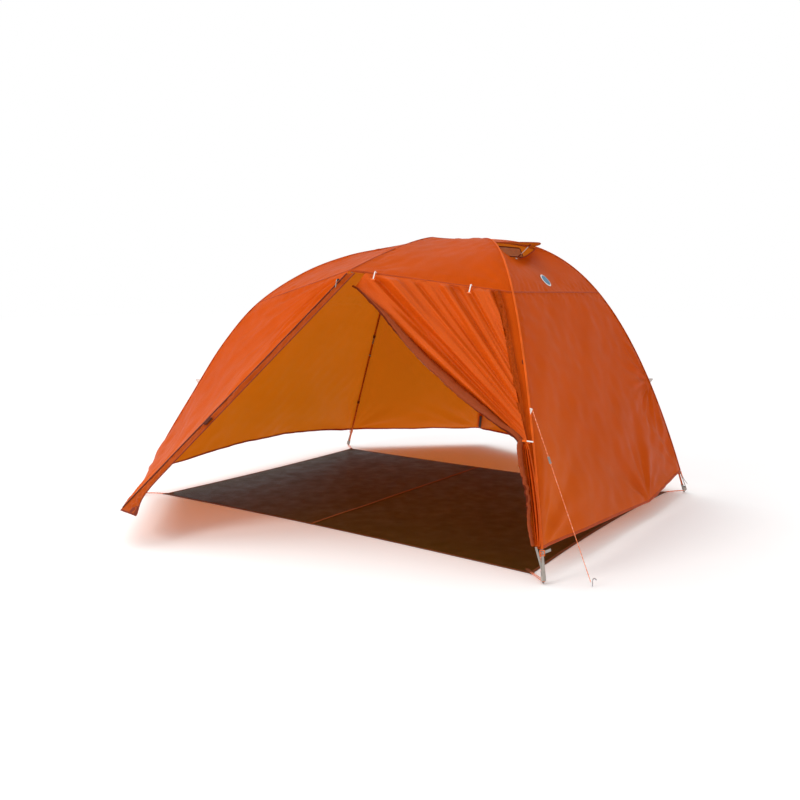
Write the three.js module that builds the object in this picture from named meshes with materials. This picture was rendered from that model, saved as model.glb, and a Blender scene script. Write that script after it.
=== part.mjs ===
// Three-person dome tent pitched without its inner tent: a nylon fly over a hubbed pole frame,
// with a ground sheet looped to the four pole tips. Millimetres, +Z up.
// The origin is the centre of the ground sheet's underside. +X is the right-hand end,
// -Y is the side whose door is tied back, and +Y is the side whose door is zipped shut.
import * as THREE from "three";

// ---------------------------------------------------------------- driving dimensions
const TIP_X = 1145;            // pole tips stand on the corners of this rectangle
const TIP_Y = 850;
const GROUND_SHEET_X = 1065;   // half sizes of the ground sheet
const GROUND_SHEET_Y = 780;
const SHEET_CURVE = 22;        // how far the ground sheet's edges are cut inwards
const SHEET_THICK = 1.6;
const HUB_RIGHT = [380, 0, 1291];
const HUB_LEFT = [-180, 0, 1268];
const BROW_X = 100;            // the brow pole crosses the ridge here
const RIDGE_TOP = 1300;
const BROW_TOP = 1311;
const BROW_END_Y = 640;
const BROW_DROP = 171;
const POLE_R = 4.5;
const BROW_R = 4;
const FLY_OFF = 11;            // from a pole's axis out to the middle of the fly
const FLY_THICK = 2;
const SEAM_GAP = 1.2;          // half of the gap between two panels at a seam
const CORNER_Z = 120;          // height of the fly's corners
const RIGHT_SEAM_Z = 1050;     // height of the roof seam on the right-hand legs
const LEFT_SEAM_Z = 1000;      // and on the left-hand legs
const VENT_Z = 1272;           // height of the vent's hinge line on the right-hand legs
const FOOT_FRONT = [-545, -1415, 135];   // foot of each vestibule's zip
const FOOT_REAR = [-450, 1450, 110];
const FLAP_WIDTH = 52;
const FLAP_FOOT_WIDTH = 140;
const ZIP_TOP_GAP = 75;        // from the leg seam to the door's side zip, at the top
const ZIP_FOOT_GAP = 16;       // and at the bottom
const TIE_POINT = [1008, -745, 493];     // where the open door is gathered
const STAKE = [1300, -770, 0];

// ---------------------------------------------------------------- materials
const material = (color, roughness, metalness = 0) =>
  new THREE.MeshStandardMaterial({ color, roughness, metalness });
const flyNylon = material(0xc8500a, 0.55);
const flyEnd = material(0xb8460a, 0.55);
const flyInside = material(0xc46a1c, 0.6);
const sheetNylon = material(0x4a2408, 0.6);
const poleOrange = material(0xc85a1e, 0.3, 0.8);
const hubGrey = material(0x6a6a6a, 0.5);
const webbingGrey = material(0xa8a098, 0.8);
const plasticGrey = material(0x8c8884, 0.45);
const plasticOrange = material(0xf07028, 0.45);
const cordOrange = material(0xf08050, 0.8);
const toggleWhite = material(0xe8e8e4, 0.5);
const meshPink = material(0xb08878, 0.9);
const stakeMetal = material(0xb8b8bc, 0.3, 0.9);

const tent = new THREE.Group();
const vec = (p) => new THREE.Vector3(...p);
const lerp = (a, b, t) => a + (b - a) * t;
const mixed = (a, b, t) => new THREE.Vector3().lerpVectors(a, b, t);

function put(name, geometry, mat) {
  const mesh = new THREE.Mesh(geometry, mat);
  mesh.name = name;
  tent.add(mesh);
  return mesh;
}

// ---------------------------------------------------------------- shape helpers
// Two grids of points, joined round their edge into one closed body.
function solidFromGrid(rows, columns, outer, inner) {
  const at = (side, i, j) => side * outer.length + i * columns + j;
  const faces = [];
  const quad = (a, b, c, d) => faces.push([a, b, c], [a, c, d]);
  const lastRow = rows - 1;
  const lastColumn = columns - 1;
  for (let i = 0; i < lastRow; i++) {
    for (let j = 0; j < lastColumn; j++) {
      quad(at(0, i, j), at(0, i, j + 1), at(0, i + 1, j + 1), at(0, i + 1, j));
      quad(at(1, i, j), at(1, i + 1, j), at(1, i + 1, j + 1), at(1, i, j + 1));
    }
    quad(at(0, i + 1, 0), at(1, i + 1, 0), at(1, i, 0), at(0, i, 0));
    quad(at(0, i, lastColumn), at(1, i, lastColumn), at(1, i + 1, lastColumn), at(0, i + 1, lastColumn));
  }
  for (let j = 0; j < lastColumn; j++) {
    quad(at(0, 0, j), at(1, 0, j), at(1, 0, j + 1), at(0, 0, j + 1));
    quad(at(0, lastRow, j + 1), at(1, lastRow, j + 1), at(1, lastRow, j), at(0, lastRow, j));
  }
  return geometryFrom([...outer, ...inner], faces);
}

function geometryFrom(points, faces) {
  let volume = 0;
  for (const [a, b, c] of faces) {
    volume += points[a].dot(new THREE.Vector3().crossVectors(points[b], points[c]));
  }
  const index = faces.flatMap(([a, b, c]) => (volume > 0 ? [a, b, c] : [a, c, b]));
  const geometry = new THREE.BufferGeometry();
  const coordinates = points.flatMap((point) => point.toArray());
  geometry.setAttribute("position", new THREE.Float32BufferAttribute(coordinates, 3));
  geometry.setIndex(index);
  geometry.computeVertexNormals();
  return geometry;
}

// A sheet of cloth: surface(u, v) is its middle, with u and v from 0 to 1.
function cloth(surface, rows, columns, thick = FLY_THICK) {
  const outer = [];
  const inner = [];
  const step = 0.01;
  for (let i = 0; i < rows; i++) {
    for (let j = 0; j < columns; j++) {
      const u = j / (columns - 1);
      const v = i / (rows - 1);
      const along = surface(Math.min(u + step, 1), v).sub(surface(Math.max(u - step, 0), v));
      const up = surface(u, Math.min(v + step, 1)).sub(surface(u, Math.max(v - step, 0)));
      const normal = along.cross(up).normalize().multiplyScalar(thick / 2);
      outer.push(surface(u, v).add(normal));
      inner.push(surface(u, v).sub(normal));
    }
  }
  return solidFromGrid(rows, columns, outer, inner);
}

// The smooth patch between four edges. bottom and top run along u, left and right along v.
function patch({ bottom, top, left, right }, inset = SEAM_GAP) {
  const size = bottom(0).distanceTo(bottom(1)) + top(0).distanceTo(top(1));
  const height = left(0).distanceTo(left(1)) + right(0).distanceTo(right(1));
  const du = (2 * inset) / size;
  const dv = (2 * inset) / height;
  return (u0, v0) => {
    const u = lerp(du, 1 - du, u0);
    const v = lerp(dv, 1 - dv, v0);
    const ruled = mixed(left(v), right(v), u).add(mixed(bottom(u), top(u), v));
    const corners = mixed(mixed(bottom(0), bottom(1), u), mixed(top(0), top(1), u), v);
    return ruled.sub(corners);
  };
}

function tube(curve, radius, steps, sides = 10) {
  const section = new THREE.Shape();
  section.absarc(0, 0, radius, 0, 2 * Math.PI, false);
  return new THREE.ExtrudeGeometry(section, {
    extrudePath: curve, steps, curveSegments: sides, bevelEnabled: false,
  });
}

// A flat strap that follows a curve, its width along `across`.
function strap(curve, width, thick, across, steps) {
  const outer = [];
  const inner = [];
  for (let i = 0; i <= steps; i++) {
    const middle = curve.getPoint(i / steps);
    const side = across.clone().multiplyScalar(width / 2);
    const normal = curve.getTangent(i / steps).cross(across).normalize().multiplyScalar(thick / 2);
    for (const sign of [-1, 1]) {
      const edge = middle.clone().addScaledVector(side, sign);
      outer.push(edge.clone().add(normal));
      inner.push(edge.clone().sub(normal));
    }
  }
  return solidFromGrid(steps + 1, 2, outer, inner);
}

// A closed body through flattened rings, each with its middle, half width, half thickness and directions.
function loft(rings, sides) {
  const points = [];
  for (const ring of rings) {
    for (let j = 0; j < sides; j++) {
      const angle = (2 * Math.PI * j) / sides;
      points.push(ring.middle.clone()
        .addScaledVector(ring.across, ring.half * Math.cos(angle))
        .addScaledVector(ring.out, ring.halfThick * Math.sin(angle)));
    }
  }
  const faces = [];
  const last = rings.length - 1;
  for (let i = 0; i < last; i++) {
    for (let j = 0; j < sides; j++) {
      const next = (j + 1) % sides;
      faces.push([i * sides + j, i * sides + next, (i + 1) * sides + next]);
      faces.push([i * sides + j, (i + 1) * sides + next, (i + 1) * sides + j]);
    }
  }
  for (let j = 1; j < sides - 1; j++) {
    faces.push([0, j + 1, j]);
    faces.push([last * sides, last * sides + j, last * sides + j + 1]);
  }
  return geometryFrom(points, faces);
}

function lathe(profile, segments = 16) {
  return new THREE.LatheGeometry(profile.map(([r, z]) => new THREE.Vector2(r, z)), segments);
}

// Turns a mesh so that its own +Y lies along `direction`, and moves it to `place`.
function aim(mesh, place, direction) {
  mesh.position.copy(place);
  mesh.quaternion.setFromUnitVectors(new THREE.Vector3(0, 1, 0), direction.clone().normalize());
  return mesh;
}

const line = (a, b) => new THREE.LineCurve3(a, b);
const straight = (a, b) => (t) => mixed(a, b, t);
const smooth = (points) => new THREE.CatmullRomCurve3(points.map(vec), false, "centripetal");

// ---------------------------------------------------------------- pole lines
const LEG_POINTS = 14;
const LEG_POWER = 2.6;         // a right-hand leg rises as 1 - (1 - s) ^ 2.6

function rightLegCurve(side) {
  const points = [];
  for (let i = 0; i <= LEG_POINTS; i++) {
    const s = i / LEG_POINTS;
    points.push([
      lerp(TIP_X, HUB_RIGHT[0], s),
      side * lerp(TIP_Y, 0, s),
      HUB_RIGHT[2] * (1 - (1 - s) ** LEG_POWER),
    ]);
  }
  return smooth(points);
}

const leftLegCurve = (side) => smooth([
  [-TIP_X, side * TIP_Y, 0],
  [-1033, side * 800, 251],
  [-880, side * 710, 536],
  [-735, side * 622, 793],
  [-600, side * 520, 985],
  [-440, side * 345, 1140],
  [-305, side * 165, 1225],
  HUB_LEFT,
]);

const ridgeMiddle = [BROW_X, 0, RIDGE_TOP];
const between = (a, b) => a.map((value, i) => (value + b[i]) / 2);
const ridgeCurve = smooth([
  HUB_LEFT, between(HUB_LEFT, ridgeMiddle), ridgeMiddle, between(ridgeMiddle, HUB_RIGHT), HUB_RIGHT,
]);

const BROW_POWER = 1.3;
const browHeight = (y) => BROW_TOP - BROW_DROP * (Math.abs(y) / BROW_END_Y) ** BROW_POWER;
const browCurve = smooth([-1, -0.75, -0.5, -0.25, 0, 0.25, 0.5, 0.75, 1].map((k) => [
  BROW_X, k * BROW_END_Y, browHeight(k * BROW_END_Y),
]));

// The fly's seam over a pole lies FLY_OFF outside the pole's axis.
const TENT_HEART = new THREE.Vector3(BROW_X, 0, 350);
function outwardAt(curve, t) {
  const tangent = curve.getTangent(t);
  const out = curve.getPoint(t).sub(TENT_HEART);
  return out.addScaledVector(tangent, -out.dot(tangent)).normalize();
}
const seamAt = (curve, t, offset = FLY_OFF) => curve.getPoint(t).addScaledVector(outwardAt(curve, t), offset);

// The curve parameter at which a rising pole's seam reaches a height.
function levelOf(curve, z) {
  let low = 0;
  let high = 1;
  for (let i = 0; i < 40; i++) {
    const middle = (low + high) / 2;
    if (seamAt(curve, middle).z < z) low = middle;
    else high = middle;
  }
  return low;
}

// ---------------------------------------------------------------- poles, hubs and tips
const SIDES = [["front", -1], ["rear", 1]];
const ENDS = [["left", leftLegCurve, LEFT_SEAM_Z], ["right", rightLegCurve, RIGHT_SEAM_Z]];
const legs = {};
for (const [sideName, side] of SIDES) {
  for (const [endName, makeCurve, seamZ] of ENDS) {
    const curve = makeCurve(side);
    legs[`${sideName}_${endName}`] = {
      curve, side,
      foot: levelOf(curve, CORNER_Z),
      roof: levelOf(curve, seamZ),
      vent: levelOf(curve, VENT_Z),
    };
  }
}

// The stretch of a curve between two parameters, as a curve of its own.
function stretch(curve, from, to, count = 12) {
  const points = [];
  for (let i = 0; i <= count; i++) points.push(curve.getPointAt(lerp(from, to, i / count)));
  return new THREE.CatmullRomCurve3(points);
}

const TIP_LENGTH = 46;
// Radius and distance from the ground end: a ball foot, a waist for the loop, and the pole's socket.
const TIP_PROFILE = [
  [0, 2], [3.5, 2.6], [5, 5], [3.4, 9], [3.4, 16], [6.5, 18], [6.5, TIP_LENGTH], [0, TIP_LENGTH],
];
const HUB_REACH = 30;         // a pole starts this far from the hub's middle
const HUB_ARM = 27;
const FERRULE_GAP = 0.5;
const TOUCH_GAP = 0.4;         // kept between pieces that touch
const JOIN_AT = 0.47;          // where a leg's two sections meet
for (const [name, leg] of Object.entries(legs)) {
  const length = leg.curve.getLength();
  const start = (TIP_LENGTH + TOUCH_GAP) / length;
  const end = 1 - (HUB_REACH + TOUCH_GAP) / length;
  const gap = FERRULE_GAP / length;
  leg.lower = stretch(leg.curve, start, JOIN_AT - gap);
  leg.upper = stretch(leg.curve, JOIN_AT + gap, end);
  put(`${name}_leg_lower`, tube(leg.lower, POLE_R, 14), poleOrange);
  put(`${name}_leg_upper`, tube(leg.upper, POLE_R, 16), poleOrange);
  const direction = leg.curve.getPointAt(start).sub(leg.curve.getPoint(0));
  aim(put(`${name}_pole_tip`, lathe(TIP_PROFILE, 14), plasticGrey), leg.curve.getPoint(0), direction);
}

const ridgeStart = (HUB_REACH + TOUCH_GAP) / ridgeCurve.getLength();
put("ridge_pole", tube(stretch(ridgeCurve, ridgeStart, 1 - ridgeStart), POLE_R, 16), poleOrange);
put("brow_pole", tube(browCurve, BROW_R, 30), poleOrange);

// A hub is a flat plate with three arms, one for each pole that meets there.
const HUB_DEPTH = 13;
const HUB_HALF_ARM = 7;
const HUB_INNER_R = 12;        // the outline comes in this close between two arms
function hub(name, centre, curves, ridgeDirection) {
  const plan = curves.map((curve) => curve.getPointAt(1 - HUB_REACH / curve.getLength()).sub(centre));
  plan.push(ridgeDirection.clone().multiplyScalar(HUB_REACH));
  plan.sort((a, b) => Math.atan2(a.y, a.x) - Math.atan2(b.y, b.x));
  const outline = new THREE.Shape();
  plan.forEach((arm, i) => {
    const angle = Math.atan2(arm.y, arm.x);
    const side = [-Math.sin(angle) * HUB_HALF_ARM, Math.cos(angle) * HUB_HALF_ARM];
    const tip = [Math.cos(angle) * HUB_ARM, Math.sin(angle) * HUB_ARM];
    if (i === 0) outline.moveTo(tip[0] - side[0], tip[1] - side[1]);
    else outline.lineTo(tip[0] - side[0], tip[1] - side[1]);
    outline.lineTo(tip[0] + side[0], tip[1] + side[1]);
    const next = plan[(i + 1) % plan.length];
    const bend = arm.clone().setZ(0).normalize().add(next.clone().setZ(0).normalize());
    bend.normalize().multiplyScalar(HUB_INNER_R);
    outline.lineTo(bend.x, bend.y);
  });
  const geometry = new THREE.ExtrudeGeometry(outline, { depth: HUB_DEPTH, bevelEnabled: false });
  geometry.translate(centre.x, centre.y, centre.z - HUB_DEPTH / 2 - 2);
  put(name, geometry, hubGrey);
}
const legCurves = (endName) => [legs[`front_${endName}`].curve, legs[`rear_${endName}`].curve];
hub("right_hub", vec(HUB_RIGHT), legCurves("right"), new THREE.Vector3(-1, 0, 0));
hub("left_hub", vec(HUB_LEFT), legCurves("left"), new THREE.Vector3(1, 0, 0));

// The brow pole clips to the ridge pole with a swivel: a stub with a waist between the two.
const swivel = put("brow_swivel", new THREE.BoxGeometry(16, 14, 10), hubGrey);
swivel.position.set(BROW_X, 0, RIDGE_TOP - POLE_R - 0.5 - 5);

// ---------------------------------------------------------------- ground sheet and its corner loops
function groundSheetOutline() {
  const outline = new THREE.Shape();
  const bow = SHEET_CURVE;
  outline.moveTo(-GROUND_SHEET_X, -GROUND_SHEET_Y);
  outline.quadraticCurveTo(0, -GROUND_SHEET_Y + 2 * bow, GROUND_SHEET_X, -GROUND_SHEET_Y);
  outline.quadraticCurveTo(GROUND_SHEET_X - 2 * bow, 0, GROUND_SHEET_X, GROUND_SHEET_Y);
  outline.quadraticCurveTo(0, GROUND_SHEET_Y - 2 * bow, -GROUND_SHEET_X, GROUND_SHEET_Y);
  outline.quadraticCurveTo(-GROUND_SHEET_X + 2 * bow, 0, -GROUND_SHEET_X, -GROUND_SHEET_Y);
  return outline;
}
put("ground_sheet", new THREE.ExtrudeGeometry(groundSheetOutline(), {
  depth: SHEET_THICK, bevelEnabled: false, curveSegments: 12,
}), sheetNylon);

const LOOP_R = 1.6;
for (const [name, leg] of Object.entries(legs)) {
  const tip = leg.curve.getPoint(0);
  const corner = new THREE.Vector3(Math.sign(tip.x) * GROUND_SHEET_X, leg.side * GROUND_SHEET_Y, 0);
  const away = tip.clone().sub(corner).setZ(0).normalize();
  const from = corner.clone().addScaledVector(away, 3).setZ(3);
  const to = tip.clone().addScaledVector(away, -14).setZ(9);
  put(`${name}_sheet_loop`, tube(line(from, to), LOOP_R, 4, 8), cordOrange);
}

// ---------------------------------------------------------------- fly: its seams and corners
const FLY_TOP = FLY_OFF + 1;
const SEAM_BLEND = 8;
const browSeam = (from, to) => (t) => {
  const y = lerp(from, to, t) * (BROW_END_Y + 14);
  return new THREE.Vector3(BROW_X, y, browHeight(y) + FLY_TOP);
};
// The ridge seam rises from each hub, and more steeply where it comes up over the brow pole.
const ridgeSeam = (hubPoint) => (t) => {
  const rise = (BROW_TOP - RIDGE_TOP) * t ** 3;
  return new THREE.Vector3(lerp(hubPoint[0], BROW_X, t), 0, lerp(hubPoint[2], RIDGE_TOP, t) + FLY_TOP + rise);
};
// A leg's seam from one of its heights up to the top of its hub.
const seamToHub = (leg, from, to = 1) => (t) => {
  const hubTop = leg.curve.getPoint(1).setZ(leg.curve.getPoint(1).z + FLY_TOP);
  const lift = hubTop.sub(seamAt(leg.curve, 1));
  return seamAt(leg.curve, lerp(from, to, t)).addScaledVector(lift, lerp(from, to, t) ** SEAM_BLEND);
};
const legSeam = (leg, from = leg.foot, to = leg.roof) => (t) => seamAt(leg.curve, lerp(from, to, t));
const browEnd = (side) => browSeam(side, side)(0);
const roofPoint = (leg) => seamAt(leg.curve, leg.roof);
const cornerPoint = (leg) => seamAt(leg.curve, leg.foot);
const addPanel = (name, edges, rows, columns, mat = flyNylon, inset = SEAM_GAP) =>
  put(name, cloth(patch(edges, inset), rows, columns), mat);

// ---------------------------------------------------------------- fly: roof, ends and vestibules
const HUB_STOP = 0.96;         // the end panels stop just short of the hubs
for (const [sideName, side] of SIDES) {
  const left = legs[`${sideName}_left`];
  const right = legs[`${sideName}_right`];
  const foot = vec(side < 0 ? FOOT_FRONT : FOOT_REAR);
  const brow = browSeam(side, 0);
  addPanel(`fly_roof_${sideName}_left`, {
    bottom: straight(roofPoint(left), browEnd(side)), top: ridgeSeam(HUB_LEFT),
    left: seamToHub(left, left.roof), right: brow,
  }, 9, 9);
  addPanel(`fly_roof_${sideName}_right`, {
    bottom: straight(roofPoint(right), browEnd(side)), top: ridgeSeam(HUB_RIGHT),
    left: seamToHub(right, right.roof), right: brow,
  }, 9, 9);
  addPanel(`fly_vestibule_${sideName}`, {
    bottom: straight(cornerPoint(left), foot), top: straight(roofPoint(left), browEnd(side)),
    left: legSeam(left), right: straight(foot, browEnd(side)),
  }, 9, 7);
}

// The hem of the right-hand end is pegged down at one point; the left-hand hem arches up.
const HEM_PEG_Y = 250;
const HEM_PEG = [36, -46];     // how far out and down the peg point is pulled
function rightHem(t) {
  const point = mixed(cornerPoint(legs.front_right), cornerPoint(legs.rear_right), t);
  const reach = point.y < HEM_PEG_Y ? HEM_PEG_Y + TIP_Y : TIP_Y - HEM_PEG_Y;
  const pull = Math.max(0, 1 - Math.abs(point.y - HEM_PEG_Y) / reach);
  return point.add(new THREE.Vector3(HEM_PEG[0] * pull, 0, HEM_PEG[1] * pull));
}
const HEM_ARCH = 62;
function leftHem(t) {
  const point = mixed(cornerPoint(legs.front_left), cornerPoint(legs.rear_left), t);
  return point.add(new THREE.Vector3(0, 0, HEM_ARCH * 4 * t * (1 - t)));
}
const { front_left: frontLeft, rear_left: rearLeft, front_right: frontRight, rear_right: rearRight } = legs;
addPanel("fly_left_end", {
  bottom: leftHem, top: straight(roofPoint(frontLeft), roofPoint(rearLeft)),
  left: legSeam(frontLeft), right: legSeam(rearLeft),
}, 8, 9, flyEnd);
addPanel("fly_left_end_top", {
  bottom: straight(roofPoint(frontLeft), roofPoint(rearLeft)),
  top: straight(seamToHub(frontLeft, 0, HUB_STOP)(1), seamToHub(rearLeft, 0, HUB_STOP)(1)),
  left: seamToHub(frontLeft, frontLeft.roof, HUB_STOP), right: seamToHub(rearLeft, rearLeft.roof, HUB_STOP),
}, 7, 7, flyEnd);
addPanel("fly_right_end", {
  bottom: rightHem, top: straight(roofPoint(frontRight), roofPoint(rearRight)),
  left: legSeam(frontRight), right: legSeam(rearRight),
}, 9, 11, flyEnd);

// ---------------------------------------------------------------- vent in the right-hand end
const VENT_LIP = [566, 1204];  // x and z of the middle of the opening's lower edge
const VENT_STEP = 0.012;       // the lip starts this far down the legs from the hinge line
const ventEdge = (step) => straight(
  seamAt(frontRight.curve, frontRight.vent + step), seamAt(rearRight.curve, rearRight.vent + step));
function ventLip(t) {
  const point = ventEdge(-VENT_STEP)(t);
  const sag = Math.sin(Math.PI * t);
  point.x = lerp(point.x, VENT_LIP[0], sag);
  point.z = lerp(point.z, VENT_LIP[1], sag);
  return point;
}
addPanel("fly_right_end_top", {
  bottom: straight(roofPoint(frontRight), roofPoint(rearRight)), top: ventLip,
  left: legSeam(frontRight, frontRight.roof, frontRight.vent - VENT_STEP),
  right: legSeam(rearRight, rearRight.roof, rearRight.vent - VENT_STEP),
}, 8, 9, flyEnd);
addPanel("fly_vent_crown", {
  bottom: ventEdge(0),
  top: straight(seamToHub(frontRight, 0, HUB_STOP)(1), seamToHub(rearRight, 0, HUB_STOP)(1)),
  left: seamToHub(frontRight, frontRight.vent, HUB_STOP),
  right: seamToHub(rearRight, rearRight.vent, HUB_STOP),
}, 4, 7, flyEnd);

const hinge = ventEdge(0)(0.5);
const HOOD = { half: Math.abs(ventEdge(0)(0).y) - 12, reach: 118, thick: 2.4, rise: 2 };
const hoodShape = new THREE.Shape();
hoodShape.moveTo(-HOOD.half, 3);
hoodShape.lineTo(HOOD.half, 3);
hoodShape.quadraticCurveTo(HOOD.half * 0.45, HOOD.reach * 0.92, 0, HOOD.reach);
hoodShape.quadraticCurveTo(-HOOD.half * 0.45, HOOD.reach * 0.92, -HOOD.half, 3);
const hood = put("vent_hood", new THREE.ExtrudeGeometry(hoodShape, {
  depth: HOOD.thick, bevelEnabled: false, curveSegments: 10,
}), flyEnd);
const hoodTilt = THREE.MathUtils.degToRad(HOOD.rise);
hood.matrixAutoUpdate = false;
hood.matrix.makeBasis(
  new THREE.Vector3(0, 1, 0),
  new THREE.Vector3(Math.cos(hoodTilt), 0, Math.sin(hoodTilt)),
  new THREE.Vector3(Math.sin(hoodTilt), 0, -Math.cos(hoodTilt)),
).setPosition(hinge.x + 1, 0, hinge.z + 1);

const MESH_LOW = [545, 1216, 118];       // x, z and half width of the mesh window's lower edge
const MESH_HIGH = [512, 1262, 142];
const meshEdge = ([x, z, half]) => straight(new THREE.Vector3(x, -half, z), new THREE.Vector3(x, half, z));
const meshSurface = (u, v) => mixed(meshEdge(MESH_LOW)(u), meshEdge(MESH_HIGH)(u), v);
put("vent_mesh", cloth(meshSurface, 2, 3, 1.2), meshPink);

const STRUT_BASE = new THREE.Vector3(574, 0, 1210);
const STRUT_END = new THREE.Vector3(642, 0, hinge.z - 1.5);
const strutAlong = STRUT_END.clone().sub(STRUT_BASE);
const strut = put("vent_strut", new THREE.BoxGeometry(8, strutAlong.length(), 1.8), toggleWhite);
strutAlong.normalize();
strut.matrixAutoUpdate = false;
strut.matrix.makeBasis(
  new THREE.Vector3(0, 1, 0), strutAlong, new THREE.Vector3(0, 1, 0).cross(strutAlong),
).setPosition(mixed(STRUT_BASE, STRUT_END, 0.5));

// ---------------------------------------------------------------- doors
const sideZip = (leg) => (t) => {
  const away = new THREE.Vector3(-0.95, leg.side * 0.3, 0.06).normalize();
  return legSeam(leg)(t).addScaledVector(away, lerp(ZIP_FOOT_GAP, ZIP_TOP_GAP, t));
};
addPanel("fly_side_strip_front", {
  bottom: straight(cornerPoint(frontRight), sideZip(frontRight)(0)),
  top: straight(roofPoint(frontRight), sideZip(frontRight)(1)),
  left: legSeam(frontRight), right: sideZip(frontRight),
}, 12, 3);
const rearFoot = vec(FOOT_REAR);
addPanel("fly_door_rear", {
  bottom: straight(rearFoot, cornerPoint(rearRight)), top: straight(browEnd(1), roofPoint(rearRight)),
  left: straight(rearFoot, browEnd(1)), right: legSeam(rearRight),
}, 10, 12);

// The storm flap beside the open door's zip widens into a foot.
const frontFoot = vec(FOOT_FRONT);
const FLAP_ACROSS = new THREE.Vector3(0.98, -0.18, 0.02).normalize();
const FLAP_TOP = 0.985;
const zipLine = (foot, side) => straight(foot, browEnd(side));
const flapWidth = (t) => FLAP_WIDTH + (FLAP_FOOT_WIDTH - FLAP_WIDTH) * Math.exp(-((t / 0.045) ** 1.4));
put("fly_storm_flap", cloth((u, v) => {
  const t = lerp(0.001, FLAP_TOP, v ** 1.6);
  return zipLine(frontFoot, -1)(t).addScaledVector(FLAP_ACROSS, lerp(3.5, flapWidth(t), u));
}, 12, 3), flyInside);

// The open door: pleated cloth hangs from the roof seam to the tie, and falls free below it.
const DOOR_GAP = 14;
const DOOR_SIDE_GAP = -24;
const DOOR_LIFT = 18;
const roofSeam = straight(browEnd(-1), sideZip(frontRight)(1));
const doorStart = roofSeam(0.07).add(new THREE.Vector3(0, -4, -DOOR_GAP));
const doorEnd = roofSeam(0.97).add(new THREE.Vector3(0, -4, -DOOR_GAP));
const tie = vec(TIE_POINT);
const skirtEnd = sideZip(frontRight)(0).add(new THREE.Vector3(-12, -30, 10));
// Each ring: middle, half width, half thickness and the direction of its width.
function doorRing(left, right, halfThick, out) {
  const middle = mixed(left, right, 0.5);
  const across = right.clone().sub(left);
  const half = across.length() / 2;
  return { middle, across: across.normalize(), half, halfThick, out };
}
const doorOut = new THREE.Vector3(0.3, -0.88, 0.36).normalize();
const doorRings = [];
const HANG_RINGS = 7;
for (let i = 0; i < HANG_RINGS; i++) {
  const t = i / HANG_RINGS;
  const left = mixed(doorStart, tie, t).addScaledVector(FLAP_ACROSS, -20 * t);
  const zipSide = sideZip(frontRight)(lerp(0.985, 0.43, t)).addScaledVector(FLAP_ACROSS, DOOR_SIDE_GAP);
  doorRings.push(doorRing(left, zipSide.addScaledVector(doorOut, DOOR_LIFT * Math.min(1, 2 * t)),
    lerp(7, 13, t), doorOut));
}
const tieWide = new THREE.Vector3(17, -4, 0);
doorRings.push(doorRing(tie.clone().sub(tieWide), tie.clone().add(tieWide), 14, doorOut));
const skirtWide = new THREE.Vector3(26, 0, 0);
for (const t of [0.12, 0.4, 0.7, 1]) {
  const middle = mixed(tie, skirtEnd, t);
  const spread = skirtWide.clone().multiplyScalar(0.7 + 0.3 * t);
  doorRings.push(doorRing(middle.clone().sub(spread), middle.clone().add(spread), 15, doorOut));
}
put("fly_door_tied_back", loft(doorRings, 14), flyNylon);

// ---------------------------------------------------------------- zip sliders
const SLIDER = [7, 14, 4];
const SLIDER_OFF = 9;
function zipSlider(name, foot, side, place) {
  const along = browEnd(side).sub(foot).normalize();
  const out = new THREE.Vector3(-0.35, side * 0.85, 0.4);
  out.addScaledVector(along, -out.dot(along)).normalize();
  const slider = put(name, new THREE.BoxGeometry(...SLIDER), plasticGrey);
  slider.matrixAutoUpdate = false;
  slider.matrix.makeBasis(new THREE.Vector3().crossVectors(along, out), along, out)
    .setPosition(mixed(foot, browEnd(side), place).addScaledVector(out, SLIDER_OFF));
}
zipSlider("front_zip_slider", frontFoot, -1, 0.95);
zipSlider("rear_zip_slider", rearFoot, 1, 0.04);

// ---------------------------------------------------------------- door toggles
// A short tape hangs from the roof seam with a cross bar at its end.
const TAPE = { half: 2.5, length: 34, barHalf: 10, barHigh: 5, thick: 2.4 };
const toggleShape = new THREE.Shape();
toggleShape.moveTo(-TAPE.half, 0);
toggleShape.lineTo(TAPE.half, 0);
toggleShape.lineTo(TAPE.half, -TAPE.length);
toggleShape.lineTo(TAPE.barHalf, -TAPE.length);
toggleShape.lineTo(TAPE.barHalf, -TAPE.length - TAPE.barHigh);
toggleShape.lineTo(-TAPE.barHalf, -TAPE.length - TAPE.barHigh);
toggleShape.lineTo(-TAPE.barHalf, -TAPE.length);
toggleShape.lineTo(-TAPE.half, -TAPE.length);
const TOGGLE_PLACES = { left: 0.17, right: 0.76 };
const TOGGLE_OFF = doorOut.clone().multiplyScalar(20);
const seamAlong = roofPoint(frontRight).sub(browEnd(-1)).projectOnPlane(doorOut).normalize();
for (const [placeName, place] of Object.entries(TOGGLE_PLACES)) {
  const up = new THREE.Vector3().crossVectors(doorOut, seamAlong);
  const toggle = put(`door_toggle_${placeName}`, new THREE.ExtrudeGeometry(toggleShape, {
    depth: TAPE.thick, bevelEnabled: false,
  }), toggleWhite);
  toggle.matrixAutoUpdate = false;
  toggle.matrix.makeBasis(seamAlong, up, new THREE.Vector3().crossVectors(seamAlong, up))
    .setPosition(mixed(browEnd(-1), roofPoint(frontRight), place).add(TOGGLE_OFF));
}
const TIE_BAR = { radius: 2.6, length: 30 };
const tieBar = new THREE.CylinderGeometry(TIE_BAR.radius, TIE_BAR.radius, TIE_BAR.length, 12);
const tieBarPlace = tie.clone().addScaledVector(doorOut, 22).addScaledVector(FLAP_ACROSS, 26);
aim(put("tie_back_toggle", tieBar, toggleWhite), tieBarPlace, FLAP_ACROSS);

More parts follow.
